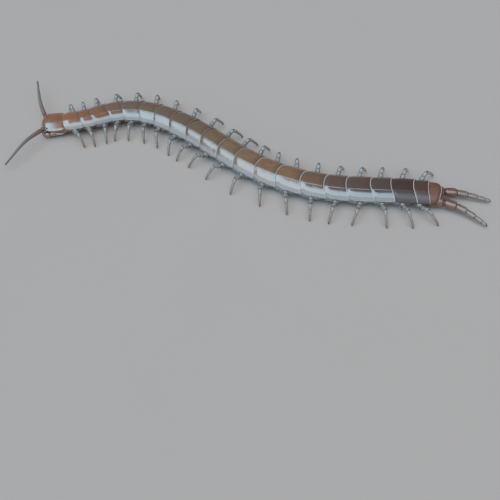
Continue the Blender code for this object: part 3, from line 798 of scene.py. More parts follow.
def skin_grid(along):
    """The skin's points at distances from the head's front edge, each with its share of the painted
    shade of a fold and its share of the body."""
    half_width, top, bottom = (column[:, None] for column in skin_profile(along))
    # Plate number less one, plus the share of that plate
    phase = np.interp(along, PLATE_EDGES, np.arange(len(PLATE_EDGES)))[:, None]
    share, place = phase % 1, SKIN_PLACE[None]
    along = along[:, None]
    on_trunk = between((HEAD_LENGTH - 0.2 * MM, HEAD_LENGTH + 1.2 * MM),
                       (BODY_LENGTH - 1.2 * MM, BODY_LENGTH), along)
    flank = bump_at(FLANK, FLANK_WIDTH, place)
    round_hip = bump_at(HIP_PLACE, HIP_WIDTH, share)
    border = bump_at(0, BORDER_WIDTH, share) + bump_at(1, BORDER_WIDTH, share)
    swayed = phase + WRINKLE_SWAY * np.sin(WRINKLE_SWAYS * place)
    folds = sum(size * np.sin(2 * math.pi * (count * swayed + turn * place) + 1.7 * count)
                for count, turn, size in WRINKLES)
    sway = FURROW_SWAY * np.sin(2 * math.pi * phase)
    furrow = sum(bump_at(line + sway, FURROW_WIDTH, place) for line in FURROWS)
    furrow = (furrow * (1 - HIP_SMOOTHING * round_hip)
              + BELLY_EDGE_DEPTH * bump_at(BELLY_EDGE, BELLY_EDGE_WIDTH, place))
    sink = furrow * FURROW_DEPTH + border * WAIST * part_way((BORDER_OFF_FLANK, 1), flank)
    rise = SWELL * round_hip * flank + WRINKLE_SIZE * folds * flank
    middle = np.where(along < HEAD_LENGTH, (top + bottom) / 2, SPINE_Z)
    up = np.where(SKIN_UP > 0, top - middle, middle - bottom) * SKIN_UP
    across = half_width * SKIN_ACROSS
    shift = 1 + (rise - sink) * on_trunk / (np.hypot(across, up) + 1e-9)
    # Share of painted shade: darkest in the furrows and at the borders between segments
    crease_shade = np.clip(furrow + BORDER_SHADE * border, 0, 1) * on_trunk
    points = on_body(along, across * shift, middle + up * shift)
    return np.concatenate([points, spread(crease_shade, body_share(along))], -1)


def skin_place(number, share, height, way):
    """(point, direction out) on the flank of a segment, at a height in its section."""
    start, length, _, _ = plate_size(number)
    along = start + share * length
    ring = skin_grid(np.array([along]))[0, :, :3]
    flank = np.nonzero((SKIN_ACROSS > 0.3) & (SKIN_PLACE > 0.3) & (SKIN_PLACE < 0.95))[0]
    column = flank[np.argmin(np.abs(SKIN_UP[flank] - height))]
    # The ring's columns run down the left side, and backwards down the right
    here, above, below = ring[way * np.array((column, column - 1, column + 1))]
    return here, unit(np.cross(spine(along)[1], above - below) * way)


def body_skin():
    segments = [np.linspace(a, b, SKIN_ROWS, endpoint=False)
                for a, b in zip(PLATE_EDGES, PLATE_EDGES[1:])]
    along = np.concatenate([np.linspace(0.3 * MM, HEAD_LENGTH, 16, endpoint=False), *segments,
                            np.linspace(BODY_LENGTH, BODY_LENGTH + 0.3 * MM, 7)])
    piece = mesh_object("body_skin", lofted(skin_grid(along), ("fold_shade", "row")))
    settle(piece, SKIN, "flank_skin", *["trunk_%d" % n for n in range(1, 8)])


# Back and belly plates, of unit length, half width and half height

# Places of the rows of points along a plate, and its size by place. It starts under the plate
# in front of it
BACK_ROWS = np.array((-0.2, -0.08, 0, 0.03, 0.07, 0.14, 0.24, 0.36, 0.5, 0.64, 0.78, 0.86, 0.91,
                      0.945, 0.962, 0.978, 0.992, 1))
BACK_SIZES = ((-0.2, 0.885), (0, 0.925), (0.08, 0.962), (0.42, 0.99), (0.92, 0.998), (1, 1))
LAST_BACK_SIZES = ((-0.2, 0.885), (0, 0.93), (0.08, 0.965), (0.4, 0.99), (0.8, 0.985), (1, 0.9))
BACK_THICKNESS = 0.055
SUTURE, SIDE_GROOVE, GROOVE_WIDTH, GROOVE_DEPTH = 0.3, 0.92, 0.012, 0.014
GROOVES_START, GROOVES_END = (0.05, 0.12), (0.9, 0.95)
MARGIN_DROP, RIM_START, RIM_RISE = 0.012, 0.962, 0.004
REAR_ROUND_START, REAR_ROUNDING, TUCKED_BOW = 0.98, 0.6, 0.7
# The first plate with the duller finish
DULL_FROM = 19
BELLY_ROWS = np.array((0.02, 0.05, 0.12, 0.25, 0.45, 0.65, 0.82, 0.9, 0.96, 0.985))
BELLY_HALF, BELLY_INSIDE, BELLY_COLUMNS = 0.53, -0.89, 29
BELLY_GROOVE, BELLY_GROOVE_WIDTH, BELLY_GROOVE_DEPTH = 0.42, 0.05, 0.018


def back_plate(sizes, bow, suture_depth=GROOVE_DEPTH):
    """Its front is tucked down. Its rear edge bows to the head, or away from it below 0."""
    half = sorted(set(np.linspace(0, 1, 19).round(4))
                  | {round(line + k * GROOVE_WIDTH, 4) for line in (SUTURE, SIDE_GROOVE)
                     for k in (-2, -1, 0, 1, 2)})
    t = np.array([-place for place in half[:0:-1]] + half)
    section = smooth_line(mirrored(DOME), (t + 1) / 2) * (-1, 1)
    x, side = BACK_ROWS[:, None], np.abs(t)
    size = smooth_value(sizes, x)
    lengthwise = between(GROOVES_START, GROOVES_END, x)
    groove = (suture_depth * bump_at(SUTURE, GROOVE_WIDTH, side)
              + GROOVE_DEPTH * bump_at(SIDE_GROOVE, GROOVE_WIDTH, side)
              - MARGIN_DROP * step_up(SIDE_GROOVE + 0.02, 0.97, side))
    rim = RIM_RISE * between((RIM_START, RIM_START + 0.015), (0.99, 1.005), x)
    rounding = REAR_ROUNDING * np.maximum(x - REAR_ROUND_START, 0)
    outer = size * (1 - lengthwise * groove + rim) - rounding
    along = x + bow * section[:, 0] ** 2 * np.where(x > 0, 1, TUCKED_BOW)

    def grid(scale):
        return spread(along, section[:, 0] * scale, section[:, 1] * scale, x, side)

    return shell(grid(outer), grid(size * (1 - BACK_THICKNESS)), ("rear", "side"))


def belly_plate(taper):
    """It has two shallow grooves."""
    x, u = BELLY_ROWS[:, None], np.linspace(-1, 1, BELLY_COLUMNS)
    across = BELLY_HALF * (1 - 0.16 * np.abs(2 * x - 1) ** 6) * (1 - taper * x) * u
    groove = BELLY_GROOVE_DEPTH * bump_at(BELLY_GROOVE, BELLY_GROOVE_WIDTH, np.abs(u))
    depth = 1 - 0.06 * np.abs(u) ** 4 - groove
    fall = 1 - 0.02 * np.abs(2 * x - 1) ** 4
    return shell(spread(x, across, -depth * fall), spread(x, across * 0.97, BELLY_INSIDE))


def plates(name, form, numbers, finish, **more):
    places = []
    for number in numbers:
        start, length, half_width, half_height = plate_size(number)
        front, rear = spine(start)[0], spine(start + length)[0]
        chord = np.linalg.norm(rear - front)
        size = np.array((chord, half_width, half_height)) / MM
        places.append((front + UP * SPINE_Z, (rear - front) / chord, UP, size))
    parts(name, form, places, finish, "body_shell", **more)


def back_plates():
    common = back_plate(BACK_SIZES, 0.2)
    for name, form, numbers, finish in (
            ("neck_plate", back_plate(BACK_SIZES, 0.1, suture_depth=0), [1], BACK),
            ("back_plates", common, range(2, DULL_FROM), BACK),
            ("rear_back_plates", common, range(DULL_FROM, LAST), TAIL_BACK),
            ("tail_plate", back_plate(LAST_BACK_SIZES, -0.16), [LAST], LAST_BACK)):
        middles = (PLATE_EDGES[1:] + PLATE_EDGES[:-1]) / 2
        plates(name, form, numbers, finish, row=[body_share(middles[n - 1]) for n in numbers])


def belly_plates():
    plates("belly_plates", belly_plate(0), WALKING, BELLY)
    plates("tail_belly_plate", belly_plate(0.45), [LAST], BELLY)


# Small forms along +X, of unit length and radius

def circle(sides):
    angles = 2 * math.pi * np.arange(sides) / sides
    return np.column_stack([np.cos(angles), np.sin(angles)])


def knob(outline, rings):
    """An outline repeated at rings of (x, size)."""
    return lofted(np.array([np.column_stack([np.full(len(outline), x), size * outline])
                            for x, size in rings]))


def button(sides, rows):
    """A low dome, closed below."""
    turns = np.linspace(0, math.pi / 2, rows, endpoint=False)
    dome = [(math.sin(turn), math.cos(turn)) for turn in turns]
    return knob(circle(sides), ((-0.6, 1), *dome, (0.995, 0.12)))


def spike(sides):
    return knob(circle(sides), ((-0.12, 1), (0.45, 0.72), (1, 0.08)))


def scale(sides=14, rows=7):
    """A low dome over a pointed oval."""
    along, across = circle(sides).T
    outline = np.column_stack([np.sign(across) * np.abs(across) ** 1.35, along])
    dome = [(math.sin(turn), math.cos(turn) ** 0.7) for turn in np.linspace(0.1, 1.5, rows)]
    return knob(outline, ((-1, 1), *dome))


def ring(sides, thickness, around=8):
    """A ring that faces +X."""
    a, (cos, sin) = circle(sides)[:, None], circle(around).T
    radius = 1 + thickness * cos
    rings = spread(thickness * sin, radius * a[..., 0], radius * a[..., 1])
    faces = [[i % (sides * around) for i in face] for face in quads(sides + 1, around)]
    return rings.reshape(-1, 3), faces, ()


# Small hard plates round each hip: share of the segment, height in the section, turn in degrees
# from the body's own line, and half length and half height in mm
HIP_PLATES = (
    (0.27, -0.16, 70, 0.3, 0.13), (0.36, -0.5, 55, 0.36, 0.15), (0.24, -0.66, 20, 0.26, 0.12),
    (0.88, -0.22, 110, 0.3, 0.12), (0.83, -0.6, 125, 0.26, 0.12), (0.55, 0.06, 0, 0.62, 0.1),
    (0.97, 0.1, 15, 0.26, 0.08), (0.14, -0.38, 80, 0.24, 0.08),
)
HIP_PLATE_THICKNESS, HIP_PLATE_SINK = 0.045, 0.008 * MM
# On segments shorter than this they are smaller
HIP_PLATES_FIT = 3.2 * MM
# The segments with air holes, and their place there, as a share of it and a height in the
# The segments with air holes, and their place there, as a share of it and a height in the
# section. Then the sizes of a rim and of the dark disc inside it, which is painted shade for the
# hole's dark inside, and how far the one stands out and the other in
AIR_HOLES, AIR_HOLE_PLACE = (3, 5, 8, 10, 12, 14, 16, 18, 20), (0.86, -0.02)
AIR_HOLE_RIM, AIR_HOLE_SHADE, AIR_HOLE_SINK = (0.13, 0.085, 0.15), (0.02, 0.07, 0.12), 0.01 * MM


def flank_details():
    scales, holes, rims = [], [], []
    for number in WALKING:
        start, length, _, _ = plate_size(number)
        fit = min(1, length / HIP_PLATES_FIT)
        back = spine(start + HIP_PLACE * length)[1]
        for way in SIDES.values():
            for share, height, turn, half_length, half_height in HIP_PLATES:
                point, out = skin_place(number, share, height, way)
                line = swung(back, unit(np.cross(out, back)) * way, turn)
                scales.append((point - out * HIP_PLATE_SINK, out, line,
                               (HIP_PLATE_THICKNESS, half_height * fit, half_length * fit)))
            if number in AIR_HOLES:
                point, out = skin_place(number, *AIR_HOLE_PLACE, way)
                rims.append((point + out * AIR_HOLE_SINK, out, back, AIR_HOLE_RIM))
                # A dark disc sunk in the rim: painted shade for the hole's dark inside
                holes.append((point - out * AIR_HOLE_SINK, out, back, AIR_HOLE_SHADE))
    parts("side_plates", scale(), scales, SIDE_PLATE, "body_shell")
    parts("air_hole_rims", ring(18, 0.34), rims, FANG_CUTICLE, "body_shell")
    # The dark discs are painted shade for the holes
    parts("air_holes", button(14, 5), holes, CLAW, "flank_skin")


# Limbs

# Along one joint of a limb: share of it, thickness there, and how much of the joint's colour
JOINT_SHAPE = (
    (0, 0.72, 1), (0.025, 0.8, 0.8), (0.07, 0.89, 0.1), (0.18, 0.94, 0), (0.36, 0.99, 0),
    (0.58, 1.04, 0), (0.78, 1.06, 0), (0.9, 1.03, 0), (0.95, 0.98, 0.1), (0.982, 0.88, 0.7),
    (1, 0.74, 1),
)
FEELER_SHAPE = (
    (0, 0.78, 1), (0.05, 0.88, 0.5), (0.16, 0.96, 0), (0.45, 1, 0), (0.78, 1.03, 0),
    (0.91, 1.01, 0), (0.97, 0.92, 0.3), (1, 0.8, 0.8),
)
# How much of a joint's bend is taken out of it, its first share, and how far it takes on its
# neighbours' thickness
STRAIGHTEN, JOINT_START, JOINT_BLEND = 0.82, 0.008, 0.7
LEG_END, LAST_LEG_END = 0.962, 0.955
# Along a straight limb: place from its root and radius, in mm, and share of a joint's colour
HIP_SHAPE = (
    (-1.15, 0.5, 0), (-0.85, 0.6, 0), (-0.5, 0.61, 0), (-0.25, 0.57, 0), (-0.05, 0.52, 0),
    (0.05, 0.49, 0.3), (0.14, 0.42, 0.9), (0.24, 0.36, 1), (0.36, 0.36, 1),
)
SOCKET_SHAPE = (
    (-0.85, 0.36, 0), (-0.5, 0.4, 0), (-0.2, 0.42, 0), (-0.06, 0.41, 0.1), (0, 0.37, 0.4),
    (0.04, 0.31, 1), (0.16, 0.27, 1), (0.34, 0.27, 1),
)
PALP_CLAW = ((0, 0.05), (0.035, 0.05), (0.07, 0.035), (0.105, 0.02), (0.14, 0.006))
TOOTH_LOBE = ((-0.5, 0.3), (-0.1, 0.31), (0.12, 0.27), (0.22, 0.18), (0.28, 0.05))
# The swollen hips of the last legs: place and radius as above, and how far it sinks
LAST_HIP_SHAPE = np.array((
    (-2.45, 0.55, 0.1), (-2.2, 0.8, 0.08), (-1.7, 0.98, 0.05), (-1.1, 1, 0.02), (-0.6, 0.94, 0),
    (-0.25, 0.85, 0), (-0.05, 0.76, 0), (0.03, 0.69, 0), (0.1, 0.6, 0), (0.2, 0.54, 0),
    (0.36, 0.54, 0),
))
# Claws: shares of their length, and there the radius in mm. The last length and drop are in mm too
CLAW_GIRTHS = ((0, 0.15, 0.5, 0.85, 1), (0.1, 0.125, 0.095, 0.045, 0.012))
LAST_CLAW_GIRTHS, LAST_CLAW_LENGTH, LAST_CLAW_DROP = ((0, 0.35, 1), (0.14, 0.14, 0.012)), 0.42, 0.16
# Bristles of a limb: their count and length, the shares of the limb where they start and end,
# their radius, and how far they lean to its tip
LEG_HAIR, LAST_LEG_HAIR = (34, 0.11), (120, 0.12, (0.03, 0.97))
FEELER_HAIR = (620, 0.1, (0.24, 0.995), 0.008, 1.1)
FEELER_ROOT_HAIR = (40, 0.12, (0.02, 0.24), 0.009, 1.1)
# Where they start, as a share of the limb's radius, the lowest place for a tip, and how strongly
# those that would go lower are raised
BRISTLE_START, BRISTLE_FLOOR, BRISTLE_LIFT = 0.94, 0.02 * MM, 1.5
# A bristle's patch in the UV map
PATCH_RADIUS = 0.0015
# Each spur's share of the leg, how far out it sits, and its size
SPURS, SPUR_OUT, SPUR = (0.65, 0.83), 0.24 * MM, (0.16, 0.035, 0.035)
# Each pore is a small dark dot, painted shade for the dark inside of its pit.
# Pores of a last hip: where they start and end along it, in mm, and round it, in degrees up from
# its outer side, and how deep they sit, as a share of its radius
PORES, PORE_RADIUS, PORE_DEPTH = 70, 0.035, 0.012
PORES_ALONG, PORES_AROUND, PORE_PLACE = (-1.9, -0.3), (-80, 15), 0.985
# Spines of the last legs' first joint: share of the limb, share of a turn, and length
SPINES, SPINE_RADIUS = ((0.05, 0.32, 0.16), (0.1, 0.4, 0.16), (0.15, 0.3, 0.18), (0.07, 0.7, 0.15),
                        (0.13, 0.8, 0.15), (0.225, 0.36, 0.26)), 0.05
# The blunt point of a last hip: its size, and its place behind, out from and below the hip's end
HIP_POINT, HIP_POINT_PLACE = (0.62, 0.17, 0.17), (-0.25, 0.25, 0.55)


def limb_rows(points, girth, reach=0, joint=0):
    """A limb's table: place, girth, share of its length and share of the joint's colour."""
    columns = [np.broadcast_to(value, len(points)) for value in (girth, reach, joint)]
    return np.column_stack([points, *columns])


def straight_limb(root, onward, shape):
    place, radius, *joint = np.array(shape).T
    return limb_rows(root + onward * (place[:, None] * MM), radius, 0, *joint)


def jointed(path, joints, shape=JOINT_SHAPE, end=1):
    """A limb on a path, with joints of (length, radius)."""
    lengths, radii = np.array(joints, float).T
    bounds = [*np.concatenate([[0], np.cumsum(lengths)[:-1]]) / lengths.sum(), end]
    before, after = np.append(radii[0], radii[:-1]), np.append(radii[1:], radii[-1])
    rows = []
    for k, (start, stop, radius) in enumerate(zip(bounds, bounds[1:], radii)):
        near, far = path(start), path(stop)
        for share, thickness, colour in shape:
            if k > 0 and share == 0:
                share = JOINT_START
            t = start + (stop - start) * share
            straight = near * (1 - share) + far * share
            point = straight * STRAIGHTEN + path(t) * (1 - STRAIGHTEN)
            blend = JOINT_BLEND * ((radius - after[k]) * max(share - 0.5, 0)
                                   - (before[k] - radius) * max(0.5 - share, 0))
            rows.append((*point, (radius - blend) * thickness, t, colour))
    return np.array(rows)


def closed_tip(limb, length, shrink):
    """Rounds off a limb's end."""
    tip = limb[[-1, -1]]
    tip[:, :3] += unit(limb[-1, :3] - limb[-2, :3]) * (np.array([[0.6], [1]]) * length * MM)
    tip[:, 3] *= (0.8, shrink)
    return np.concatenate([limb, tip])


def bristles(limb, count, length, reach=(0.05, 0.97), radius=0.009, lean=0.9):
    """Bristles spread over a limb by chance, leaning to its tip: places, each with its
    (share of the limb, share of a turn)."""
    shares, found = shares_of(limb[:, :3]), []
    for share, spin, chance in rng.random((count, 3)):
        share = part_way(reach, share)
        around = share, min(share + 0.01, 1), share - 0.01
        here, ahead, behind = (linear(shares, limb, place) for place in around)
        onward = unit(ahead[:3] - behind[:3])
        side = unit(np.cross(UP, onward))
        out = swung(side, np.cross(onward, side), 360 * spin)
        root = here[:3] + out * here[3] * MM * BRISTLE_START
        hair = unit(out + onward * lean)
        if root[2] + hair[2] * length * MM < BRISTLE_FLOOR:
            hair = unit(hair + UP * BRISTLE_LIFT)
        size = (length * (0.7 + 0.6 * chance), radius, radius)
        found.append(((root, hair, onward + UP * 0.01, size), (share, spin)))
    return found


def lay_out_roots(piece, corners, roots):
    """A UV map in which each bristle is a small patch at its root's place on its limb."""
    layer = piece.data.uv_layers.new(name="OFBake")
    indices = np.zeros(len(piece.data.loops), np.int32)
    piece.data.loops.foreach_get("vertex_index", indices)
    patch = PATCH_RADIUS * circle(corners)[indices % corners]
    places = np.array(roots)[indices // corners] + patch
    layer.data.foreach_set("uv", places.astype(np.float32).ravel())


def bristled(name, groups, slot):
    """groups holds the bristles of each limb, laid out one limb over another."""
    places, roots = zip(*((place, (0.02 + 0.96 * share, (k + 0.08 + 0.84 * spin) / len(groups)))
                          for k, group in enumerate(groups) for place, (share, spin) in group))
    parts(name, spike(3), places, BRISTLE, slot, roots=roots)


def leg_nodes(side, numbers):
    return ["leg_%s_%02d" % (side, number) for number in numbers]


def leg_claw(path):
    """It curves from a leg's end down to the floor."""
    ankle, foot = path(LEG_END - 0.012), path(1)
    onward = way_between(path, LEG_END - 0.06, LEG_END - 0.012)
    middle = ankle + onward * np.linalg.norm(foot - ankle) * 0.55
    t = np.linspace(0, 1, 8)
    points = single_bend(ankle, middle, foot + UP * 0.012 * MM, t)
    return limb_rows(points, np.interp(t, *CLAW_GIRTHS))


def walking_legs():
    hips, claws, spurs, groups = [], [], [], []
    for side, way in SIDES.items():
        legs = []
        for number in WALKING:
            path = leg_path(number, way)
            legs.append(closed_tip(jointed(path, LEG_JOINTS, end=LEG_END), 0.05, 0.3))
            hips.append(straight_limb(*hip_end(number, way), HIP_SHAPE))
            claws.append(leg_claw(path))
            groups.append(bristles(legs[-1], *LEG_HAIR))
            for share in SPURS:
                onward = way_between(path, share, share + 0.02)
                down = unit(onward * onward[2] - UP)
                spurs.append((path(share) + down * SPUR_OUT, unit(down * 0.6 + onward), UP, SPUR))
        limbs("legs_" + side, legs, 14, LEG, "leg_shell", *leg_nodes(side, WALKING))
    limbs("hips", hips, 18, LEG, "leg_shell")
    limbs("leg_claws", claws, 8, CLAW, "claw_tips")
    parts("leg_spurs", spike(6), spurs, CLAW, "claw_tips")
    bristled("leg_bristles", groups, "leg_shell")


def last_hip(end, direction, outward):
    """A swollen hip and its pores."""
    places, radii, sinks = LAST_HIP_SHAPE.T
    line = end + (direction * places[:, None] - UP * sinks[:, None]) * MM
    joint = np.interp(places, (-0.05, 0.1, 0.2), (0, 0.8, 1))
    swelling = limb_rows(line, radii, 0.1, joint)
    pores = []
    for step, spin in rng.random((PORES, 2)):
        place = part_way(PORES_ALONG, step)
        radius, sink = linear(places, LAST_HIP_SHAPE[:, 1:], place)
        out = swung(outward, UP, part_way(PORES_AROUND, spin))
        root = end + (direction * place - UP * sink + out * radius * PORE_PLACE) * MM
        size = PORE_RADIUS * (0.6 + 0.7 * spin)
        pores.append((root, out, direction, (PORE_DEPTH, size, size)))
    return swelling, pores


def last_legs():
    hips, claws, spines, pores, groups = [], [], [], [], []
    for side, way in SIDES.items():
        path, end, direction = last_leg_path(way)
        leg = closed_tip(jointed(path, LAST_LEG_JOINTS, end=LAST_LEG_END), 0.17, 0.45)
        limbs("last_leg_" + side, [leg], 20, LAST_LEG, "last_leg_shell", *leg_nodes(side, [LAST]))
        outward = unit(np.cross(direction, UP)) * way
        swelling, hip_pores = last_hip(end, direction, outward)
        hips.append(swelling)
        pores += hip_pores
        t = np.linspace(0, 1, 8)
        ahead = way_between(path, 0.9, 0.95) * (t[:, None] * LAST_CLAW_LENGTH * MM)
        drop = UP * (t[:, None] ** 2 * LAST_CLAW_DROP * MM)
        claws.append(limb_rows(path(0.95) + ahead - drop, np.interp(t, *LAST_CLAW_GIRTHS)))
        groups.append(bristles(leg, *LAST_LEG_HAIR))
        for share, spin, length in SPINES:
            onward = way_between(path, share, share + 0.01)
            out = swung(unit(np.cross(onward, UP)) * way, UP, 360 * spin)
            root = path(share) + out * LAST_LEG_JOINTS[0][1] * MM * 0.95
            size = (length, SPINE_RADIUS, SPINE_RADIUS)
            spines.append((root, unit(out + onward * 0.8), UP, size))
        behind, aside, below = HIP_POINT_PLACE
        root = end + (direction * behind + outward * aside - UP * below) * MM
        spines.append((root, unit(direction - UP * 0.2), UP, HIP_POINT))
    limbs("last_hips", hips, 24, LAST_LEG, "last_leg_shell")
    # Dark dots of painted shade for the pores
    parts("last_hip_pores", button(7, 2), pores, CLAW, "last_leg_shell")
    limbs("last_leg_claws", claws, 10, CLAW, "claw_tips")
    parts("last_leg_spines", spike(7), spines, FANG_CUTICLE, "last_leg_shell")
    bristled("last_leg_bristles", groups, "last_leg_shell")


# Head

HEAD_COLUMNS, HEAD_THICKNESS, HEAD_BOW = 81, 0.07, 0.22 * MM
# Relief of the head plate, in shares of its size: two sutures that part to the front, a furrow
# between the eyes, a groove along each side, and a raised rear rim
HEAD_SUTURES, HEAD_SUTURE_END = (0.26, 0.36), (0.35, 0.5)
HEAD_SUTURE_DEPTH, HEAD_SUTURE_WIDTH = 0.022, 0.02
BROW_DEPTH, BROW_WIDTH, BROW_START = 0.03, 0.05, (0.62, 0.85)
HEAD_GROOVE, HEAD_GROOVE_WIDTH, HEAD_GROOVE_DEPTH, HEAD_REAR_RISE = 0.9, 0.03, 0.015, 0.02
# The front of the face: distance behind the head's front edge in mm, and its size
FACE_STEPS = ((1.5, 0.99), (1.1, 1), (0.8, 1), (0.55, 1), (0.35, 1), (0.2, 0.99), (0.1, 0.95),
              (0.03, 0.84), (-0.01, 0.62))
FACE_FIT, FACE_Z, CHIN_DEPTH = 0.95, 2.15, 0.32
FACE_HALF = HEAD_DOME[:5] + ((0.92, -0.5), (0.5, -0.95), (0, -1))
# The lips: distance, half width and half height, in mm
LIP_STEPS = ((1.3, 0.5, 0.22), (1.05, 0.58, 0.25), (0.85, 0.6, 0.25), (0.6, 0.52, 0.24),
             (0.42, 0.36, 0.2), (0.34, 0.15, 0.12))
LIP_Z, LIP_HALF = 1.66, ((0, 1), (0.9, 0.7), (1, -0.2), (0.6, -0.9), (0, -1))
# A palp: ahead of its root, aside and height, in mm, and its joints
PALP = ((0, 0.62, 1.5), (0.35, 0.66, 1.47), (0.68, 0.5, 1.47), (0.92, 0.28, 1.5))
PALP_ROOT, PALP_JOINTS = 0.95 * MM, ((0.4, 0.2), (0.32, 0.17), (0.28, 0.13))


def head_size(share):
    """(share of the width, share of the height) at a share of the head's length from its rear."""
    return smooth_value(HEAD_STEPS, share).T


def head_plate():
    share = np.concatenate([np.linspace(-0.015, 0.05, 5), np.linspace(0.08, 0.9, 21),
                            np.linspace(0.92, 1, 8)])[:, None]
    t = np.linspace(-1, 1, HEAD_COLUMNS)
    section = smooth_line(mirrored(HEAD_DOME), (t + 1) / 2)
    width, height = (size[:, None] for size in head_size(share[:, 0]))
    lines = part_way(HEAD_SUTURES, step_up(0, 0.45, share))
    suture = (HEAD_SUTURE_DEPTH * bump_at(lines, HEAD_SUTURE_WIDTH, np.abs(t))
              * (1 - step_up(*HEAD_SUTURE_END, share)))
    brow = BROW_DEPTH * bump_at(0, BROW_WIDTH, t) * step_up(*BROW_START, share)
    groove = HEAD_GROOVE_DEPTH * bump_at(HEAD_GROOVE, HEAD_GROOVE_WIDTH, np.abs(t))
    rear_rim = HEAD_REAR_RISE * (1 - step_up(0, 0.03, share))
    bow = HEAD_BOW * (1 - section[:, 0] ** 2) * (1 - step_up(0, 0.3, share))
    along = HEAD_REAR * (1 - share) + bow

    def grid(size):
        return on_body(along, HEAD_HALF_WIDTH * width * section[:, 0] * size,
                       HEAD_Z + HEAD_HALF_HEIGHT * height * section[:, 1] * size)

    form = shell(grid(1 + rear_rim - suture - brow - groove), grid(1 - HEAD_THICKNESS))
    settle(mesh_object("head_plate", form), HEAD, "head_shell", "head")


def eyes():
    lenses, rims = [], []
    for way in SIDES.values():
        for share, aside, rise, upward in EYES:
            along = HEAD_LENGTH * (1 - share)
            across = way * HEAD_HALF_WIDTH * head_size(share)[0] * aside
            point = on_body(along, across, HEAD_Z + rise * MM)
            _, back, left = spine(along)
            out = unit(left * way + UP * upward - back * EYES_FORWARD)
            lenses.append((point, out, UP, EYE))
            rims.append((point + out * EYE_RIM_OUT, out, UP, EYE_RIM))
    parts("eyes", button(20, 8), lenses, EYE_LENS, "eyes")
    parts("eye_rims", ring(24, 0.16), rims, HEAD, "head_shell")


def feelers():
    sockets, groups = [], []
    starts = np.arange(FEELER_JOINTS) / FEELER_JOINTS
    joints = [(1, smooth_value(FEELER_RADII, start + 0.03)) for start in starts]
    for side, way in SIDES.items():
        path, end, direction = feeler_path(way)
        feeler = closed_tip(jointed(path, joints, FEELER_SHAPE), 0.07, 0.2)
        limbs("feeler_" + side, [feeler], 18, FEELER, "feelers", "antenna_" + side)
        sockets.append(straight_limb(end, direction, SOCKET_SHAPE))
        groups.append(bristles(feeler, *FEELER_HAIR) + bristles(feeler, *FEELER_ROOT_HAIR))
    limbs("feeler_sockets", sockets, 22, FEELER, "feelers")
    bristled("feeler_bristles", groups, "feelers")


def lobe(half, rows):
    """A closed form across the body. rows holds (distance, half width, middle, height above it,
    depth below it) in mm."""
    line = closed_line(half, 40)
    along, width, middle, above, below = np.array(rows, float).T[:, :, None] * MM
    up = middle + np.where(line[:, 1] > 0, above, below) * line[:, 1]
    return lofted(on_body(along, width * line[:, 0], up))


def mouth():
    """The front of the face with the lips, and the two palps with their claws."""
    rows = []
    for along, shrink in FACE_STEPS:
        width, height = head_size(1 - along * MM / HEAD_LENGTH)
        half_width, rise = HEAD_HALF_WIDTH * width * FACE_FIT, HEAD_HALF_HEIGHT * height * FACE_FIT
        rows.append((along, half_width / MM * shrink, FACE_Z,
                     ((HEAD_Z + rise) / MM - FACE_Z) * shrink, CHIN_DEPTH * shrink))
    points, faces, _ = lobe(FACE_HALF, rows)
    lips, lip_faces, _ = lobe(LIP_HALF, [(along, width, LIP_Z, height, height)
                                         for along, width, height in LIP_STEPS])
    faces += [tuple(len(points) + i for i in face) for face in lip_faces]
    settle(mesh_object("face", (np.concatenate([points, lips]), faces, ())), HEAD, "head_shell")
    palps, claws = [], []
    for way in SIDES.values():
        point, back, left = spine(PALP_ROOT)
        knots = [point + (left * way * aside - back * ahead + UP * z) * MM
                 for ahead, aside, z in PALP]
        path = lambda t, knots=knots: smooth_line(knots, t)
        palps.append(closed_tip(jointed(path, PALP_JOINTS), 0.05, 0.3))
        claws.append(straight_limb(path(0.98), way_between(path, 0.95, 1), PALP_CLAW))
    limbs("palps", palps, 14, FANG_CUTICLE, "head_shell")
    limbs("palp_claws", claws, 8, CLAW, "claw_tips")


FANG_PLATE_ROWS = np.array((0, 0.02, 0.06, 0.12, 0.22, 0.34, 0.46, 0.58, 0.7, 0.8, 0.88, 0.94, 0.98,
                            1))[:, None]
FANG_PLATE_SECTION = ((0, 1), (0.72, 0.92), (0.97, 0.45), (0.98, -0.3), (0.66, -0.9), (0, -1))
# Along a stub: share of the way to the fang, and radius
STUB_SHAPE = ((-0.2, 0.45), (0.15, 0.55), (0.45, 0.57), (0.75, 0.54), (0.9, 0.5), (0.97, 0.42),
              (1.12, 0.38))
LOBE_ASIDE, LOBE_DROP = 0.36 * MM, 0.05 * MM
# The teeth of a lobe: their places across it, in steps, and the size of one
TEETH, TOOTH_STEP, TOOTH_AHEAD = (-1.5, -0.5, 0.5, 1.5), 0.11 * MM, 0.2 * MM
TOOTH, TOOTH_SPLAY = (0.15, 0.055, 0.055), 0.12
# Share of a fang, and its thickness against the solid's, with a neck at each joint
FANG_NECKS = (
    (0, 0.86), (0.03, 0.95), (0.12, 1.02), (0.26, 1.03), (0.35, 1), (0.375, 0.97), (0.39, 0.91),
    (0.405, 0.96), (0.43, 1), (0.46, 0.99), (0.475, 0.93), (0.49, 0.97), (0.52, 1.01), (0.55, 1),
    (0.565, 0.94), (0.58, 0.98), (0.62, 1.04), (0.68, 1.04), (0.74, 1), (0.8, 0.96), (0.86, 0.9),
    (0.92, 0.8), (0.96, 0.62), (0.99, 0.35), (1, 0.15),
)
FANG_JOINTS, FANG_DROOP = (0.39, 0.475, 0.565), 0.9 * MM


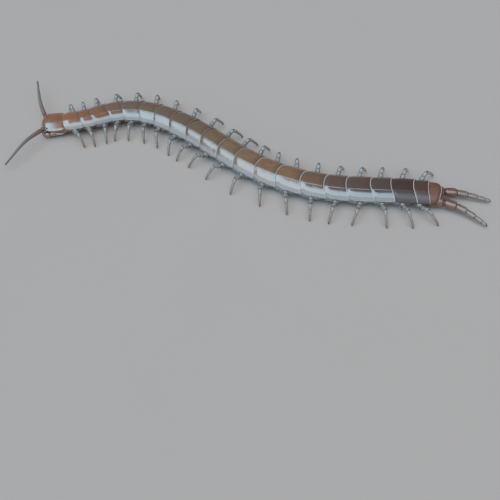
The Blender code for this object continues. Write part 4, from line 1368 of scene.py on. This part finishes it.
def fang_plate():
    """The broad plate below the head that carries the fangs, with two toothed lobes in front."""
    share, line = FANG_PLATE_ROWS, closed_line(FANG_PLATE_SECTION, 56)
    width = smooth_value(FANG_PLATE_STEPS, share) * MM / 2
    width = width * (1 - 0.1 * (1 - step_up(0, 0.06, share)) - 0.08 * step_up(0.94, 1, share))
    height = FANG_PLATE_HALF * (1 - 0.35 * (1 - between((0, 0.08), (0.92, 1), share)))
    along = HEAD_REAR - share * FANG_PLATE_LENGTH
    groove = 0.05 * bump_at(0, 0.05, line[:, 0]) * (line[:, 1] < 0)
    rings = on_body(along, width * line[:, 0], FANG_PLATE_Z + height * (line[:, 1] + groove))
    settle(mesh_object("fang_plate", lofted(rings)), FANG_CUTICLE, "fang_shell", "forcipule_base")

    stubs, lobes, teeth = [], [], []
    aside, behind = FANG_STUB
    steps, girth = np.array(STUB_SHAPE).T
    front = along[-1, 0]
    for way in SIDES.values():
        base = on_body(behind, way * aside, FANG_Z)
        stubs.append(limb_rows(base + (fang_path(way)(0) - base) * steps[:, None], girth))
        _, back, left = spine(front)
        root = on_body(front, way * LOBE_ASIDE, FANG_PLATE_Z - LOBE_DROP)
        lobes.append(straight_limb(root, -back, TOOTH_LOBE))
        for step in TEETH:
            place = root + left * step * TOOTH_STEP - back * TOOTH_AHEAD
            teeth.append((place, unit(left * step * TOOTH_SPLAY - back), UP, TOOTH))
    limbs("fang_stubs", stubs, 20, FANG_CUTICLE, "fang_shell")
    limbs("tooth_lobes", lobes, 16, FANG_CUTICLE, "fang_shell")
    parts("fang_plate_teeth", spike(7), teeth, CLAW, "claw_tips")


def fangs():
    shape = np.array(FANG)
    t, size = np.array(FANG_NECKS).T
    girth = smooth_value(np.column_stack([shares_of(shape[:, :2]), shape[:, 2]]), t) * size
    joint = sum(bump_at(place, 0.012, t) for place in FANG_JOINTS)
    for side, way in SIDES.items():
        points = fang_path(way)(t)
        points[:, 2] -= FANG_DROOP * np.clip(t - 0.6, 0, 1) ** 2
        limbs("fang_" + side, [limb_rows(points, girth, t, joint)], 24, FANG_CUTICLE, "fang_shell",
              "forcipule_" + side)


body_skin()
back_plates()
belly_plates()
flank_details()
walking_legs()
last_legs()
head_plate()
eyes()
feelers()
mouth()
fang_plate()
fangs()


# Floor, light and camera

FLOOR_HALF, FLOOR_DROP = 0.6, 0.02 * MM
FLOOR_COLOURS = (0.42, 0.335, 0.29), (0.44, 0.35, 0.305)
TOP_LIGHT, TOP_LIGHT_SIZE, TOP_LIGHT_PLACE = 2.35, 0.5, (0.04, -0.08, 0.6)
TOP_COLOUR = (1, 0.89, 0.78)
ROOM_LIGHT, ROOM_COLOUR = 0.22, (0.9, 0.95, 1)
SKY_LIGHT, SKY_COLOUR = 3.7, (0.44, 0.74, 1)
BACKDROP = (0.44, 0.45, 0.455)
# The bright part of the room, by the parts of a direction that point to +X, +Y and +Z: its edge
# along Y, and its foot along Z, below which it is dimmer
SKY_EDGE = (-0.26, -0.14)
SKY_FOOT, LOW_SHARE = (0.5, 0.69), 0.12
# Over the head its edge goes further to +Y: the parts along X where that starts and ends, and by
# how much
SKY_SWEEP, SKY_SWEEP_END, SKY_SWEEP_SHIFT = (-0.26, -0.185), (-0.7, -0.55), 0.49
# Its light at two parts along X
SKY_LEAN = (-0.45, 0.4, 1.35, 0.7)

# The photo's view: 54 degrees over the floor, looking along +Y. The picture's middle is a point
# on the floor, back from the head's front edge and to the left of it
VIEW_ELEVATION, VIEW_DISTANCE = 54, 108.73 * MM
VIEW_MIDDLE = (34.06 * MM, -24.24 * MM, 0)
FOCAL_SHARE = 738 / 500


def studio():
    corners = np.array([(-1, -1, 0), (1, -1, 0), (1, 1, 0), (-1, 1, 0)]) * FLOOR_HALF
    floor = mesh_object("floor", (corners - UP * FLOOR_DROP, [(0, 1, 2, 3)], ()))
    paper, tree, shader = new_finish("floor_paper", Roughness=0.8)
    fill(tree, shader, {"Base Color": mixed(tree, grain(tree, 20 * MM), *FLOOR_COLOURS)})
    floor.data.materials.append(paper)

    light = bpy.data.lights.new("top_softbox", "AREA")
    light.shape = "RECTANGLE"
    light.size, light.size_y = TOP_LIGHT_SIZE, TOP_LIGHT_SIZE
    light.energy = TOP_LIGHT * math.pi * TOP_LIGHT_SIZE ** 2
    light.color = TOP_COLOUR
    lamp = placed("top_softbox", light)
    lamp.location = TOP_LIGHT_PLACE
    lamp.visible_glossy = False
    bpy.context.scene.world = room()


def room():
    """A dim room with a soft bright sky over its near half, on the -Y side. What the camera sees
    past the floor is plain."""
    world = bpy.data.worlds.new("room")
    world.use_nodes = True
    tree = world.node_tree
    direction = add_node(tree, "ShaderNodeTexCoord").outputs["Generated"]
    x, y, z = add_node(tree, "ShaderNodeSeparateXYZ", Vector=direction).outputs
    shift, end = level(tree, x, *SKY_SWEEP, SKY_SWEEP_SHIFT, 0), level(tree, x, *SKY_SWEEP_END)
    sweep = times(tree, shift, end)
    edge = reckon(tree, "SUBTRACT", y, sweep)
    sky = times(tree, level(tree, edge, *SKY_EDGE, 1, 0), level(tree, z, *SKY_FOOT, LOW_SHARE, 1))
    colour = mixed(tree, sky, ROOM_COLOUR, SKY_COLOUR)
    light = times(tree, level(tree, sky, 0, 1, ROOM_LIGHT, SKY_LIGHT), level(tree, x, *SKY_LEAN))
    seen = add_node(tree, "ShaderNodeLightPath").outputs["Is Camera Ray"]
    unseen_light = times(tree, reckon(tree, "SUBTRACT", 1, seen), light)
    fill(tree, tree.nodes["Background"], {"Color": mixed(tree, seen, colour, BACKDROP),
                                          "Strength": reckon(tree, "ADD", unseen_light, seen)})
    return world


def camera():
    angle = math.radians(VIEW_ELEVATION)
    back = Vector((0, -math.cos(angle), math.sin(angle)))
    data = bpy.data.cameras.new("view")
    data.sensor_width = 36
    data.lens = data.sensor_width * FOCAL_SHARE
    data.clip_start, data.clip_end = 0.001, 10
    view = placed("view", data)
    view.location = Vector(spine(0)[0] * (1, 1, 0) + VIEW_MIDDLE) + back * VIEW_DISTANCE
    view.rotation_mode = "QUATERNION"
    view.rotation_quaternion = back.to_track_quat("Z", "Y")
    bpy.context.scene.camera = view


studio()
camera()
